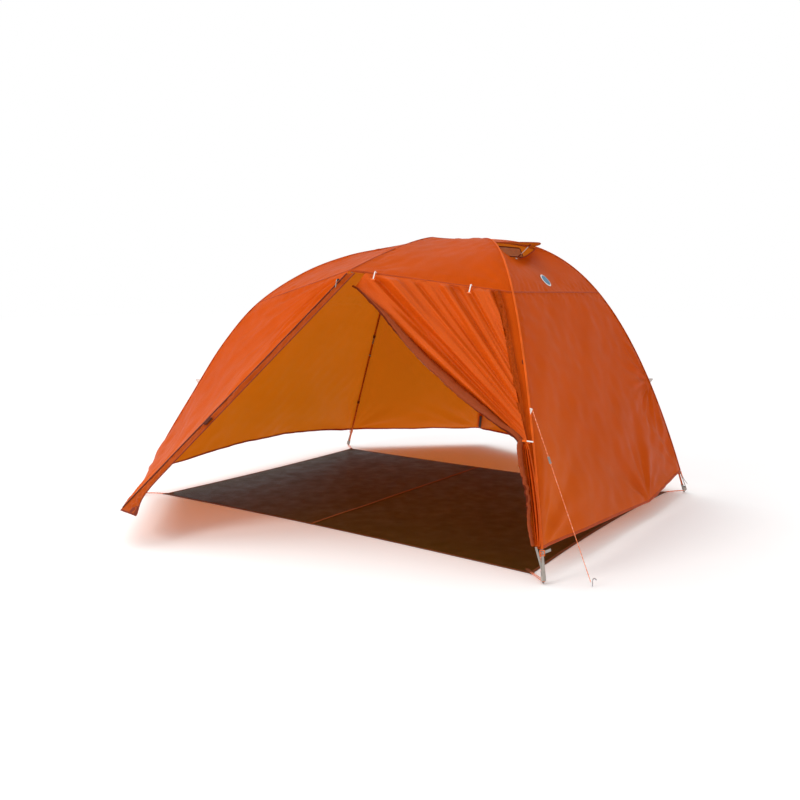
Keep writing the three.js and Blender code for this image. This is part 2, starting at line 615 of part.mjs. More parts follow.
// ---------------------------------------------------------------- corner webbing and ladder locks
const STRAP = { width: 15, thick: 1.4, off: 14 };
const LOCK = { half: 11, high: 9, thick: 3.2, slotHalf: 8, slotHigh: 1.6, slotAt: 4 };
const lockShape = new THREE.Shape();
lockShape.moveTo(-LOCK.half, -LOCK.high);
lockShape.lineTo(LOCK.half, -LOCK.high);
lockShape.lineTo(LOCK.half * 0.85, LOCK.high);
lockShape.lineTo(-LOCK.half * 0.85, LOCK.high);
lockShape.closePath();
for (const sign of [-1, 1]) {
  const slot = new THREE.Path();
  const middle = sign * LOCK.slotAt;
  slot.moveTo(-LOCK.slotHalf, middle - LOCK.slotHigh);
  slot.lineTo(-LOCK.slotHalf, middle + LOCK.slotHigh);
  slot.lineTo(LOCK.slotHalf, middle + LOCK.slotHigh);
  slot.lineTo(LOCK.slotHalf, middle - LOCK.slotHigh);
  slot.closePath();
  lockShape.holes.push(slot);
}
for (const [name, leg] of Object.entries(legs)) {
  const out = outwardAt(leg.curve, leg.foot);
  const corner = cornerPoint(leg);
  const tip = leg.curve.getPoint(0);
  const along = corner.clone().sub(tip).normalize();
  const across = new THREE.Vector3().crossVectors(along, out).normalize();
  const face = new THREE.Vector3().crossVectors(across, along).normalize();
  const lock = put(`${name}_ladder_lock`, new THREE.ExtrudeGeometry(lockShape, {
    depth: LOCK.thick, bevelEnabled: false,
  }), plasticOrange);
  lock.matrixAutoUpdate = false;
  lock.matrix.makeBasis(across, along, new THREE.Vector3().crossVectors(across, along))
    .setPosition(corner.clone().addScaledVector(along, -LOCK.high - 4));
  const outer = face.dot(out) > 0 ? face : face.negate();
  const top = corner.clone().addScaledVector(along, -2 * LOCK.high - 8).addScaledVector(outer, 1);
  const bottom = tip.clone().addScaledVector(outer, STRAP.off - 3).setZ(14);
  put(`${name}_corner_strap`, strap(line(top, bottom), STRAP.width, STRAP.thick, across, 4), webbingGrey);
}

// ---------------------------------------------------------------- guy-outs, guyline and its stake
const GUY_Z = 600;
const TAB = { high: 26, reach: 18, thick: 1.8 };
const tabShape = new THREE.Shape();
tabShape.moveTo(0, -TAB.high / 2);
tabShape.lineTo(TAB.reach, -3);
tabShape.lineTo(TAB.reach, 3);
tabShape.lineTo(0, TAB.high / 2);
tabShape.closePath();
let guyPoint;
for (const [name, leg] of Object.entries(legs)) {
  const t = levelOf(leg.curve, GUY_Z);
  const out = outwardAt(leg.curve, t);
  const along = leg.curve.getTangent(t);
  const base = seamAt(leg.curve, t).addScaledVector(out, FLY_THICK / 2 + 1.2);
  const tab = put(`${name}_guy_tab`, new THREE.ExtrudeGeometry(tabShape, {
    depth: TAB.thick, bevelEnabled: false,
  }), webbingGrey);
  tab.matrixAutoUpdate = false;
  const across = new THREE.Vector3().crossVectors(out, along);
  tab.matrix.makeBasis(out, along, across).setPosition(base.clone().addScaledVector(across, -TAB.thick / 2));
  if (name === "front_right") guyPoint = base.addScaledVector(out, TAB.reach);
}
const stake = vec(STAKE);
const lineEnd = stake.clone().add(new THREE.Vector3(-7, 1.5, 13));
const guyAlong = lineEnd.clone().sub(guyPoint).normalize();
const lineStart = guyPoint.clone().addScaledVector(guyAlong, 4);
const GUY_R = 1.5;
put("guyline", tube(line(lineStart, lineEnd), GUY_R, 12, 8), cordOrange);
const SLEEVE = { inner: 2.2, outer: 5, half: 13 };
aim(put("guyline_tensioner", lathe([
  [SLEEVE.inner, -SLEEVE.half], [SLEEVE.outer, -SLEEVE.half + 2], [SLEEVE.outer, SLEEVE.half - 2],
  [SLEEVE.inner, SLEEVE.half], [SLEEVE.inner, -SLEEVE.half],
], 14), plasticGrey), mixed(lineStart, lineEnd, 0.3), guyAlong);
const hook = new THREE.CatmullRomCurve3([[0, 0, 0.4], [0, 0, 10], [0, 0, 20], [3, -0.6, 28], [10, -2, 31],
  [16, -3, 27]].map((p) => vec(p).add(stake)));
put("guyline_stake", tube(hook, 2.2, 14, 8), stakeMetal);

export default tent;
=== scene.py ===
import math

import bmesh
import bpy
import numpy as np
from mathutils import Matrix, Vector


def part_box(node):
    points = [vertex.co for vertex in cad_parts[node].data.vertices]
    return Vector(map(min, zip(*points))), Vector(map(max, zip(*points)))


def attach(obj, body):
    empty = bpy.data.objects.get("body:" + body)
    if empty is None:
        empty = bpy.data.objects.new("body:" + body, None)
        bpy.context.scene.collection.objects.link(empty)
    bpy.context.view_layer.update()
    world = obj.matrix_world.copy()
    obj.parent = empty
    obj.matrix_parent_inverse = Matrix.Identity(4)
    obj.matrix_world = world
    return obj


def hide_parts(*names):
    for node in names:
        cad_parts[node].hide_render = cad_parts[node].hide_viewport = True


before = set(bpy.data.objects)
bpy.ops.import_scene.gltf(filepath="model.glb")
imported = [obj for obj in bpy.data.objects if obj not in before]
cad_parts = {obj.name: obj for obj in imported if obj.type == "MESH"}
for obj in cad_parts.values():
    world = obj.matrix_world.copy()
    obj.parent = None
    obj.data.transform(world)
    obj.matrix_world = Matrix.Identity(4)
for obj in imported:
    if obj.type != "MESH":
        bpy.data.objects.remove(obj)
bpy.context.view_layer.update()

# ---- driving dimensions, in metres
TIP = (1.145, 0.850)              # the pole tips stand on the corners of this rectangle
GROUND = (1.065, 0.780)           # half sizes of the ground sheet
SHEET_CURVE = 0.022               # how far its edges are cut inwards
HUB_RIGHT = (0.380, 0.0, 1.291)
HUB_LEFT = (-0.180, 0.0, 1.268)
BROW_X, BROW_TOP = 0.100, 1.311   # where the brow pole crosses the ridge, and its height there
BROW_END_Y, BROW_DROP, BROW_POWER = 0.640, 0.171, 1.3
RIDGE_TOP = 1.300
POLE_R, BROW_R = 0.0045, 0.004
FLY_OFF = 0.011                   # from a pole's axis out to the fly
FLY_TOP = 0.012                   # from the ridge and the hubs up to the fly
CORNER_Z, VENT_Z = 0.120, 1.272   # heights of the fly's corners and of the vent's hinge line
RIGHT_SEAM_Z, LEFT_SEAM_Z = 1.050, 1.000
FOOT_FRONT = np.array((-0.545, -1.415, 0.135))
FOOT_REAR = np.array((-0.450, 1.450, 0.110))
TIE = np.array((1.008, -0.745, 0.493))     # the middle of the bunched door at its tie
STAKE = np.array((1.300, -0.770, 0.0))
TENT_HEART = np.array((BROW_X, 0.0, 0.350))     # the fly faces away from this point
LEFT_LEG = [(-1.033, 0.800, 0.251), (-0.880, 0.710, 0.536), (-0.735, 0.622, 0.793), (-0.600, 0.520, 0.985),
            (-0.440, 0.345, 1.140), (-0.305, 0.165, 1.225)]
GUY_Z = 0.600                     # height of the guy tabs
GUY_DIAMETER = 0.0028
GUY_TAB_REACH = 0.018             # how far a guy tab stands off the fly
BADGE = (6, 48)                   # row and column of the fly's upper right panel that the badge is on
SHARP_ANGLE = math.radians(40)    # edges sharper than this stay crisp
BRAID_PITCH, FLECK_SHARE = 0.004, 0.3
PART_POINTS = 70                  # points in a stretch cut from a longer line
LENS_MM, CAMERA_AT = 36.95, (2.388, -3.487, 1.0465)
CAMERA_DOWN, CAMERA_TURN = 0.1295, 0.6197          # below level and about the vertical, in radians
SUN_FROM = (-0.55, 0.10, 1.0)
ZIP_UP = {"front": (0.4539, 0.5355, 0.7122), "rear": (0.3878, -0.5612, 0.7312)}
ZIP_OUT = {"front": (-0.2119, -0.7115, 0.67), "rear": (-0.2377, 0.7056, 0.6676)}
SLIDER_AT = {"front": (0.06584, -0.69845, 1.10255), "rear": (-0.43014, 1.42451, 0.15749)}

# ---- points, lines and noise


def P(*xyz):
    return np.array(xyz, float)


UP = P(0, 0, 1)


def unit(v):
    return v / np.maximum(np.linalg.norm(v, axis=-1, keepdims=True), 1e-12)


def square(v, along):
    """The direction of v once what lies along another direction is taken out of it."""
    return unit(v - (v * along).sum(-1, keepdims=True) * along)


def shares(count):
    """Evenly spaced values from 0 to 1."""
    return np.linspace(0, 1, count)


def column(first, last, count):
    """Evenly spaced distances, ready to be multiplied by a direction."""
    return np.linspace(first, last, count)[:, None]


def arch(t):
    """0 at both ends and 1 half-way."""
    return np.sin(np.pi * t)


def lerp(a, b, t):
    return a + (b - a) * t


def mix(a, b, t):
    """Points on the way from a to b, one for each value in t."""
    t = np.asarray(t, float)[..., None]
    return a * (1 - t) + b * t


def ease(x):
    x = np.clip(x, 0, 1)
    return x * x * (3 - 2 * x)


def through(points, t):
    """A smooth line through points, with t from 0 to 1 by point number."""
    p = np.asarray(points, float)
    p = np.vstack([2 * p[0] - p[1], p, 2 * p[-1] - p[-2]])
    d = np.linalg.norm(np.diff(p, axis=0), axis=1) ** 0.5
    at = np.clip(np.asarray(t, float), 0, 1) * (len(p) - 3)
    i = np.minimum(at.astype(int), len(p) - 4)
    w = (at - i)[..., None]
    p0, p1, p2, p3 = (p[i + k] for k in range(4))
    d0, d1, d2 = (d[i + k][..., None] for k in range(3))
    m1 = ((p1 - p0) / d0 - (p2 - p0) / (d0 + d1) + (p2 - p1) / d1) * d1
    m2 = ((p2 - p1) / d1 - (p3 - p1) / (d1 + d2) + (p3 - p2) / d2) * d1
    w2, w3 = w * w, w * w * w
    return (2 * w3 - 3 * w2 + 1) * p1 + (w3 - 2 * w2 + w) * m1 + (3 * w2 - 2 * w3) * p2 + (w3 - w2) * m2


def straight(a, b):
    return lambda t: mix(np.asarray(a, float), np.asarray(b, float), t)


def tangents(points):
    return unit(np.gradient(points, axis=0))


def travelled(points):
    """How far along a line each of its points is."""
    return np.concatenate([[0], np.cumsum(np.linalg.norm(np.diff(points, axis=0), axis=1))])


def length_of(points):
    return float(np.linalg.norm(np.diff(points, axis=0), axis=1).sum())


def sampled(points, known, wanted):
    """Values between the points of a line, which are known at some places and wanted at others."""
    return np.stack([np.interp(wanted, known, points[:, k]) for k in range(3)], 1)


def part_of(points, first, last):
    """The stretch of a line between two distances along it, given as shares of its length."""
    far = travelled(points)
    return sampled(points, far, np.linspace(first, last, PART_POINTS) * far[-1])


def evenly(points, step):
    """The same line with its points a step apart."""
    far = travelled(points)
    count = max(2, int(round(far[-1] / step)) + 1)
    return sampled(points, far, np.linspace(0, far[-1], count))


def ripple(points, wavelength, seed, waves=9):
    """Smooth noise of about -1 to 1 at the points, the same every run."""
    rng = np.random.default_rng(seed)
    directions = unit(rng.normal(size=(waves, 3)))
    rates = 2 * np.pi / wavelength * rng.uniform(0.6, 1.5, waves)
    phases = rng.uniform(0, 2 * np.pi, waves)
    return np.sin(points @ directions.T * rates + phases).sum(-1) / waves ** 0.5


# ---- pole lines and the fly's seams
class Leg:
    """One corner pole, from its tip on the ground up to its hub, and the seam over it."""

    def __init__(self, end, side):
        self.side = side
        if end == "right":
            s = shares(15)
            rise = HUB_RIGHT[2] * (1 - (1 - s) ** 2.6)
            self.points = np.stack([lerp(TIP[0], HUB_RIGHT[0], s), side * lerp(TIP[1], 0, s), rise], 1)
            seam_z = RIGHT_SEAM_Z
        else:
            inner = [(x, side * y, z) for x, y, z in LEFT_LEG]
            self.points = np.array([(-TIP[0], side * TIP[1], 0.0), *inner, HUB_LEFT])
            seam_z = LEFT_SEAM_Z
        self.foot, self.roof, self.vent = (self.level(z) for z in (CORNER_Z, seam_z, VENT_Z))

    def at(self, t):
        return through(self.points, t)

    def outward(self, t):
        t = np.asarray(t, float)
        tangent = unit(self.at(np.minimum(t + 1e-3, 1)) - self.at(np.maximum(t - 1e-3, 0)))
        out = self.at(t) - TENT_HEART
        return square(out, tangent)

    def along(self, t):
        return tangents(self.at(np.array([t - 0.01, t, t + 0.01])))[1]

    def seam(self, t):
        """The seam's line. Near the hub it is lifted over the socket."""
        t = np.asarray(t, float)
        top = self.at(1.0) + P(0, 0, FLY_TOP) - (self.at(1.0) + self.outward(1.0) * FLY_OFF)
        return self.at(t) + self.outward(t) * FLY_OFF + top * (t ** 8)[..., None]

    def level(self, z):
        t = shares(2001)
        return float(np.interp(z, self.seam(t)[:, 2], t))

    def rising(self, t):
        """The seam from the fly's corner (0) up to the roof seam (1)."""
        return self.seam(lerp(self.foot, self.roof, t))

    def roofing(self, t):
        """The seam from the roof seam (0) up to the hub (1)."""
        return self.seam(lerp(self.roof, 1, t))


LEGS = {f"{side}_{end}": Leg(end, sign)
        for side, sign in (("front", -1), ("rear", 1)) for end in ("left", "right")}
FL, FR, RL, RR = (LEGS[n] for n in ("front_left", "front_right", "rear_left", "rear_right"))


def brow_height(y):
    return BROW_TOP - BROW_DROP * (np.abs(y) / BROW_END_Y) ** BROW_POWER


def brow_seam(side):
    """From the brow pole's end (0) to the ridge (1)."""
    def line(t):
        y = side * (BROW_END_Y + 0.014) * (1 - np.asarray(t, float))
        return np.stack([np.full_like(y, BROW_X), y, brow_height(y) + FLY_TOP], -1)
    return line


def ridge_seam(hub):
    """From a hub (0) to where the brow pole crosses (1)."""
    def line(t):
        t = np.asarray(t, float)
        z = lerp(hub[2], RIDGE_TOP, t) + FLY_TOP + (BROW_TOP - RIDGE_TOP) * t ** 3
        return np.stack([lerp(hub[0], BROW_X, t), np.zeros_like(t), z], -1)
    return line


BROW_END = {side: brow_seam(side)(0.0) for side in (-1, 1)}

# ---- node-based materials


def colour(hex_code):
    """A linear colour from a screen colour."""
    parts = [int(hex_code[i:i + 2], 16) / 255 for i in (0, 2, 4)]
    return tuple(c / 12.92 if c <= 0.04045 else ((c + 0.055) / 1.055) ** 2.4 for c in parts) + (1.0,)


class Nodes:
    """A material under construction. Its methods add nodes and give back their outputs."""

    def __init__(self, name):
        self.material = bpy.data.materials.new(name)
        self.material.use_nodes = True
        self.tree = self.material.node_tree
        self.shader = self.tree.nodes["Principled BSDF"]
        self.output = self.tree.nodes["Material Output"]

    def add(self, kind, inputs=(), **settings):
        node = self.tree.nodes.new(kind)
        for key, value in settings.items():
            setattr(node, key, value)
        for key, value in dict(inputs).items():
            if isinstance(value, bpy.types.NodeSocket):
                self.tree.links.new(value, node.inputs[key])
            else:
                node.inputs[key].default_value = value
        return node

    def set(self, **values):
        for key, value in values.items():
            socket = self.shader.inputs[key.replace("_", " ")]
            if isinstance(value, bpy.types.NodeSocket):
                self.tree.links.new(value, socket)
            else:
                socket.default_value = value

    def math(self, operation, a, b=0.0):
        return self.add("ShaderNodeMath", {0: a, 1: b}, operation=operation).outputs[0]

    def mix(self, factor, first, second):
        return self.add("ShaderNodeMix", {0: factor, 6: first, 7: second}, data_type="RGBA").outputs[2]

    def mottled(self, factor, base, dark, light):
        """The base colour, darker where the factor is low and lighter where it is high."""
        return self.ramp(factor, (0.3, tinted(base, dark)), (0.7, tinted(base, light)))

    def patchy(self, factor, low, high, start=0.3, end=0.7):
        """A value that runs from low to high with the factor."""
        return self.ramp(factor, (start, (low,) * 3), (end, (high,) * 3))

    def place(self, kind="Object"):
        return self.add("ShaderNodeTexCoord").outputs[kind]

    def noise(self, scale, detail=3.0, roughness=0.55, vector=None, stretch=None):
        vector = vector or self.place()
        if stretch:
            vector = self.add("ShaderNodeMapping", {"Vector": vector, "Scale": stretch}).outputs[0]
        return self.add("ShaderNodeTexNoise", {
            "Vector": vector, "Scale": scale, "Detail": detail, "Roughness": roughness}).outputs[0]

    def ramp(self, factor, *stops):
        node = self.add("ShaderNodeValToRGB", {0: factor})
        elements = node.color_ramp.elements
        while len(elements) < len(stops):
            elements.new(0.5)
        for element, (position, value) in zip(elements, stops):
            element.position = position
            element.color = value if len(value) == 4 else (*value, 1.0)
        return node.outputs[0]

    def bump(self, height, strength, distance, below=None):
        inputs = {"Height": height, "Strength": strength, "Distance": distance}
        if below is not None:
            inputs["Normal"] = below
        return self.add("ShaderNodeBump", inputs).outputs[0]

    def grid(self, pitch, thin, vector):
        """1 on the threads of a square grid and 0 between, in the sheet's own flat coordinates."""
        parts = self.add("ShaderNodeSeparateXYZ", {0: vector})
        lines = []
        for axis in (0, 1):
            turn = self.math("FRACT", self.math("MULTIPLY", parts.outputs[axis], 1 / pitch))
            lines.append(self.math("LESS_THAN", turn, thin))
        return self.math("MAXIMUM", lines[0], lines[1])


def tinted(base, amount):
    """base made darker (below 1) or lighter (above 1)."""
    return tuple(min(1.0, c * amount) for c in base[:3]) + (1.0,)


def nylon(name, base, through_colour, clear=0.40, rough=0.40, pitch=0.005, crumple=0.10, gloss=0.08):
    """Thin ripstop nylon: a fine grid, soft wrinkles, a silicone sheen, and light that comes through it."""
    base, through_colour = colour(base), colour(through_colour)
    n = Nodes(name)
    flat = n.place("UV")
    grid = n.grid(pitch, 0.10, flat)
    weave = n.noise(900, 2, vector=flat)
    tone = n.mottled(n.noise(5.0, 4), base, 0.96, 1.04)
    thread = n.mix(n.math("MULTIPLY", grid, 0.16), tone, tinted(base, 0.62))
    normal = n.bump(weave, 0.10, 0.0002)
    normal = n.bump(grid, 0.25, 0.00025, normal)
    normal = n.bump(n.noise(60, 4, 0.6), crumple, 0.0012, normal)
    roughness = n.patchy(n.noise(14), rough - 0.07, rough + 0.07)
    n.set(Base_Color=thread, Roughness=roughness, Normal=normal, Specular_IOR_Level=gloss)
    glow = n.mix(n.math("MULTIPLY", grid, 0.22), through_colour, tinted(through_colour, 0.5))
    leak = n.add("ShaderNodeBsdfTranslucent", {"Color": glow, "Normal": normal})
    both = n.add("ShaderNodeMixShader", {0: clear, 1: n.shader.outputs[0], 2: leak.outputs[0]})
    n.tree.links.new(both.outputs[0], n.output.inputs["Surface"])
    return n.material


def webbing(name, base, rib=0.0011, rough=0.75, stitched=False):
    """Woven tape: ribs across its length, paler where rubbed, and perhaps a row of stitches by each edge."""
    base = colour(base)
    n = Nodes(name)
    flat = n.place("UV")
    ribs = n.add("ShaderNodeTexWave", {"Vector": flat, "Scale": 1 / (rib * 6.0), "Distortion": 0.4,
                                       "Detail": 1.0}, bands_direction="Y").outputs[1]
    fuzz = n.noise(500, 3)
    surface = n.mottled(n.noise(18), base, 0.82, 1.16)
    height = n.math("ADD", n.math("MULTIPLY", ribs, 0.5), n.math("MULTIPLY", fuzz, 0.5))
    if stitched:
        parts = n.add("ShaderNodeSeparateXYZ", {0: flat})
        row = n.math("ABSOLUTE", n.math("SUBTRACT", n.math("ABSOLUTE", parts.outputs[0]), 0.0035))
        on_row = n.math("LESS_THAN", row, 0.0005)
        dash = n.math("LESS_THAN", n.math("FRACT", n.math("MULTIPLY", parts.outputs[1], 1 / 0.0035)), 0.7)
        thread = n.math("MULTIPLY", on_row, dash)
        surface = n.mix(thread, surface, tinted(base, 1.9))
        height = n.math("ADD", height, thread)
    n.set(Base_Color=surface, Roughness=rough, Normal=n.bump(height, 0.5, 0.0004), Sheen_Weight=0.04,
          Sheen_Roughness=0.5, Specular_IOR_Level=0.25)
    return n.material


def braid(name, base, fleck):
    """Braided cord with a fleck colour running round it, and painted shade in the grooves between its
    strands.
    """
    base, fleck = colour(base), colour(fleck)
    n = Nodes(name)
    flat = n.place("UV")
    one = n.add("ShaderNodeTexWave", {"Vector": flat, "Scale": 1 / (BRAID_PITCH * 6), "Distortion": 0.6},
                bands_direction="DIAGONAL").outputs[1]
    spots = n.add("ShaderNodeTexVoronoi", {"Vector": flat, "Scale": 260.0}).outputs["Distance"]
    # painted shade: the tone is darker where the strands' bump height is low
    tone = n.ramp(one, (0.2, tinted(base, 0.7)), (0.8, tinted(base, 1.15)))
    seen = n.mix(n.math("LESS_THAN", spots, FLECK_SHARE), tone, fleck)
    n.set(Base_Color=seen, Roughness=0.72, Normal=n.bump(one, 0.7, 0.0005), Sheen_Weight=0.2)
    return n.material


def moulded(name, base, rough=0.42):
    """Moulded plastic: a fine spark-eroded grain, faint flow marks and rubbed edges."""
    base = colour(base)
    n = Nodes(name)
    grain = n.noise(1400, 2)
    flow = n.noise(30, 4, stretch=(1, 1, 4))
    tone = n.mottled(flow, base, 0.85, 1.12)
    edge = n.add("ShaderNodeNewGeometry").outputs["Pointiness"]
    worn = n.ramp(edge, (0.50, (0, 0, 0)), (0.58, (1, 1, 1)))
    surface = n.mix(n.math("MULTIPLY", worn, 0.25), tone, tinted(base, 1.5))
    roughness = n.patchy(n.noise(40), rough - 0.08, rough + 0.10)
    n.set(Base_Color=surface, Roughness=roughness, Normal=n.bump(grain, 0.15, 0.0002))
    return n.material


def anodised(name, base):
    """Drawn aluminium tube: fine lines along it, light scratches and a dyed film."""
    base = colour(base)
    n = Nodes(name)
    drawn = n.noise(60, 3, stretch=(30, 30, 1))
    tone = n.mottled(n.noise(9), base, 0.85, 1.12)
    roughness = n.patchy(n.noise(90, 5, 0.7), 0.22, 0.42, 0.35, 0.75)
    n.set(Base_Color=tone, Metallic=1.0, Roughness=roughness, Normal=n.bump(drawn, 0.12, 0.0002))
    return n.material


def insect_mesh(name, base):
    """Fine netting: its threads are solid, and the holes between them are clear."""
    base = colour(base)
    n = Nodes(name)
    grid = n.grid(0.0022, 0.42, n.place("UV"))
    n.set(Base_Color=n.mottled(n.noise(20), base, 0.8, 1.2), Roughness=0.8, Alpha=grid)
    return n.material


MAT = {
    "fly": nylon("fly_ripstop", "D65304", "E08014", clear=0.36),
    "trim": webbing("fly_trim_tape", "6E2406", stitched=True),
    "seam": webbing("fly_seam_tape", "E05C0E", stitched=True),
    "dark": webbing("zip_tape", "64200A"),
    "ground": nylon("ground_sheet_taffeta", "402C0E", "3A1A06", clear=0.06, rough=0.45, pitch=0.004,
                    crumple=0.06, gloss=0.12),
    "ground_trim": webbing("ground_sheet_hem", "6A3A1C", stitched=True),
    "strap": webbing("corner_webbing", "A8A098"),
    "pole": anodised("pole_anodised", "C85A1E"),
    "silver": anodised("ferrule_bare", "B8B8BC"),
    "hub": moulded("hub_nylon", "5E5E5E"),
    "grey": moulded("grey_acetal", "8C8884"),
    "orange": moulded("orange_acetal", "F07028"),
    "white": moulded("white_plastic", "E6E6E2"),
    "white_tape": webbing("white_tape", "E0DCD6"),
    "cord": braid("orange_cord", "F07A48", "F4E4DC"),
    "guy": braid("guyline_cord", "F08050", "FFD8C0"),
    "grey_cord": braid("grey_cord", "9A968F", "E6E2DA"),
    "mesh": insect_mesh("vent_netting", "B08878"),
    "felled": webbing("felled_seam", "A83E06", stitched=True),
    "flap": nylon("flap_nylon", "AC460A", "C86410", clear=0.35, rough=0.36),
    "door": nylon("door_nylon", "D8580C", "E08020", clear=0.24, rough=0.38, gloss=0.26),
    "door_face": nylon("door_inner_face", "984018", "A04A20", clear=0.15, rough=0.36, gloss=0.20),
    "ground_seam": webbing("ground_sheet_seam", "8A4A20", stitched=True),
    "dark_strap": webbing("dark_webbing", "4A4440"),
    # painted shade: a dark nylon for the underside of the door's roll, where it lies in shade
    "roll_shade": nylon("roll_painted_shade", "6A240C", "7A3010", clear=0.15, rough=0.36),
    "velcro": webbing("hook_tape", "4A1C0A", rib=0.002, rough=0.95),
    "coil": moulded("zip_coil", "5A1E0C", 0.40),
    "dark_plastic": moulded("slider_enamel", "30282A", 0.35),
    "tab": webbing("guy_tab_tape", "D8D2CC"),
    "badge": webbing("badge_field", "5E8CA8", rib=0.0008),
}

# ---- mesh makers


def mesh_object(name, points, faces, uvs, material, weld=0.0):
    """An object from points and faces, with one flat coordinate for each point."""
    mesh = bpy.data.meshes.new(name)
    mesh.from_pydata(np.asarray(points).tolist(), [], faces)
    layer = mesh.uv_layers.new(name="flat")
    uvs = np.asarray(uvs, float)
    index = np.empty(len(mesh.loops), np.int32)
    mesh.loops.foreach_get("vertex_index", index)
    layer.data.foreach_set("uv", uvs[index].astype(np.float32).ravel())
    if weld:
        b = bmesh.new()
        b.from_mesh(mesh)
        bmesh.ops.remove_doubles(b, verts=b.verts, dist=weld)
        bmesh.ops.dissolve_degenerate(b, edges=b.edges, dist=1e-6)
        b.to_mesh(mesh)
        b.free()
    mesh.polygons.foreach_set("use_smooth", [True] * len(mesh.polygons))
    mesh.materials.append(material)
    obj = bpy.data.objects.new(name, mesh)
    bpy.context.scene.collection.objects.link(obj)
    return obj


def piece(obj, body="tent", replaces=()):
    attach(obj, body)
    if replaces:
        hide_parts(*replaces)
    return obj


def grid_faces(rows, columns, start=0):
    i, j = np.meshgrid(np.arange(rows - 1), np.arange(columns - 1), indexing="ij")
    a = (start + i * columns + j).ravel()
    return np.stack([a, a + 1, a + columns + 1, a + columns], 1).tolist()


def flat_uv(grid):
    """The panel's own flat coordinates, in metres."""
    wide = np.concatenate([[0], np.cumsum(np.linalg.norm(np.diff(grid, axis=1), axis=2).mean(0))])
    high = np.concatenate([[0], np.cumsum(np.linalg.norm(np.diff(grid, axis=0), axis=2).mean(1))])
    return np.stack(np.meshgrid(wide, high), -1)


def cloth(name, grid, material, body="tent", replaces=(), weld=0.0):
    """A piece of cloth from a grid of points, with its own flat coordinates."""
    faces, flat = grid_faces(*grid.shape[:2]), flat_uv(grid).reshape(-1, 2)
    sheet = mesh_object(name, grid.reshape(-1, 3), faces, flat, MAT[material], weld)
    return piece(sheet, body, replaces)


class Bundle:
    """Several solids that make one piece."""

    def __init__(self):
        self.points, self.faces, self.uvs, self.count = [], [], [], 0

    def add(self, points, faces, uvs):
        self.points.append(points)
        self.uvs.append(uvs)
        self.faces += [[k + self.count for k in face] for face in faces]
        self.count += len(points)
        return self

    def sweep(self, line, profile, up=None, widen=None):
        """A closed outline (across, up) carried along a line. up is the direction of its second axis."""
        line, profile = np.asarray(line, float), np.asarray(profile, float)
        rows, columns = len(line), len(profile)
        along = tangents(line)
        if up is None:
            guide = UP if abs(along[:, 2]).mean() < 0.9 else P(1, 0, 0)
            up = guide
        up = square(np.broadcast_to(up, line.shape), along)
        across = np.cross(along, up)
        size = np.ones(rows) if widen is None else widen
        flat = profile[None] * size[:, None, None]
        points = line[:, None] + across[:, None] * flat[..., :1] + up[:, None] * flat[..., 1:]
        faces = []
        for i in range(rows - 1):
            for j in range(columns):
                k = (j + 1) % columns
                faces.append([i * columns + j, i * columns + k, (i + 1) * columns + k, (i + 1) * columns + j])
        faces.append(list(range(columns))[::-1])
        faces.append([(rows - 1) * columns + j for j in range(columns)])
        far = travelled(line)
        uvs = np.stack([flat[..., 0], np.broadcast_to(far[:, None], (rows, columns))], -1)
        return self.add(points.reshape(-1, 3), faces, uvs.reshape(-1, 2))

    def make(self, name, material):
        obj = mesh_object(name, np.concatenate(self.points), self.faces, np.concatenate(self.uvs), material)
        obj.data.set_sharp_from_angle(angle=SHARP_ANGLE)
        return obj

    def done(self, name, material, slot, body="tent", replaces=()):
        """The finished piece, riding its body."""
        return piece(self.make(name, MAT[material]), body, replaces)


def ring(radius, sides=16):
    a = np.linspace(0, 2 * np.pi, sides, endpoint=False)
    return np.stack([np.cos(a), np.sin(a)], 1) * radius


def tape_profile(width, thick, crown=0.3):
    """A flat strip's outline with softened edges, a little thicker along its middle."""
    w, h = width / 2, thick / 2
    top = [(w, 0), (w * 0.93, h * 0.8), (w * 0.5, h * (1 + crown * 0.7)), (0, h * (1 + crown)),
           (-w * 0.5, h * (1 + crown * 0.7)), (-w * 0.93, h * 0.8), (-w, 0)]
    return top + [(x, -y) for x, y in top[-2:0:-1]]


# ---- camera, guyline, floor and light


def make_camera():
    data = bpy.data.cameras.new("camera")
    data.lens = LENS_MM
    camera = bpy.data.objects.new("camera", data)
    camera.location = CAMERA_AT
    camera.rotation_euler = (math.radians(90) - CAMERA_DOWN, 0, CAMERA_TURN)
    bpy.context.scene.collection.objects.link(camera)
    bpy.context.scene.camera = camera


def guy_point():
    t = FR.level(GUY_Z)
    return FR.seam(t) + FR.outward(t) * (0.0022 + GUY_TAB_REACH)


def make_guyline():
    """The guyline runs taut from its tab on the front right leg through its tensioner to the stake."""
    end = STAKE + P(-0.007, 0.0015, 0.013)
    along = unit(end - guy_point())
    start = guy_point() + along * 0.004
    line = mix(start, end, shares(60))
    guy = Bundle().sweep(line, ring(GUY_DIAMETER / 2, 10))
    guy = guy.done("guyline_cord", "guy", "cord_orange", replaces=["guyline"])
    sleeve = make_tensioner(mix(start, end, 0.3), along)
    stake = make_stake()


def make_tensioner(place, along):
    """A ribbed sleeve with a waist, threaded on the guyline."""
    far = np.linspace(-0.013, 0.013, 27)
    waist = 0.0042 + 0.0008 * (far / 0.013) ** 2 + 0.00025 * np.sin(far * 2 * np.pi / 0.0026)
    line = place + along * far[:, None]
    body = Bundle().sweep(line, ring(1.0, 18), widen=waist)
    node = "guyline_tensioner"
    return body.done(f"{node}_body", "grey", "plastic_grey", node, [node])


def make_stake():
    """A bent aluminium rod, its hook over the guyline's end."""
    hook = [(0, 0, 0.0006), (0, 0, 0.010), (0, 0, 0.020), (0.003, -0.0006, 0.028), (0.010, -0.002, 0.031),
            (0.016, -0.003, 0.027)]
    line = STAKE + through(hook, shares(30))
    stake = Bundle().sweep(line, ring(0.0021, 14), up=P(0, 1, 0))
    return stake.done("guyline_stake_rod", "silver", "stake_metal", replaces=["guyline_stake"])


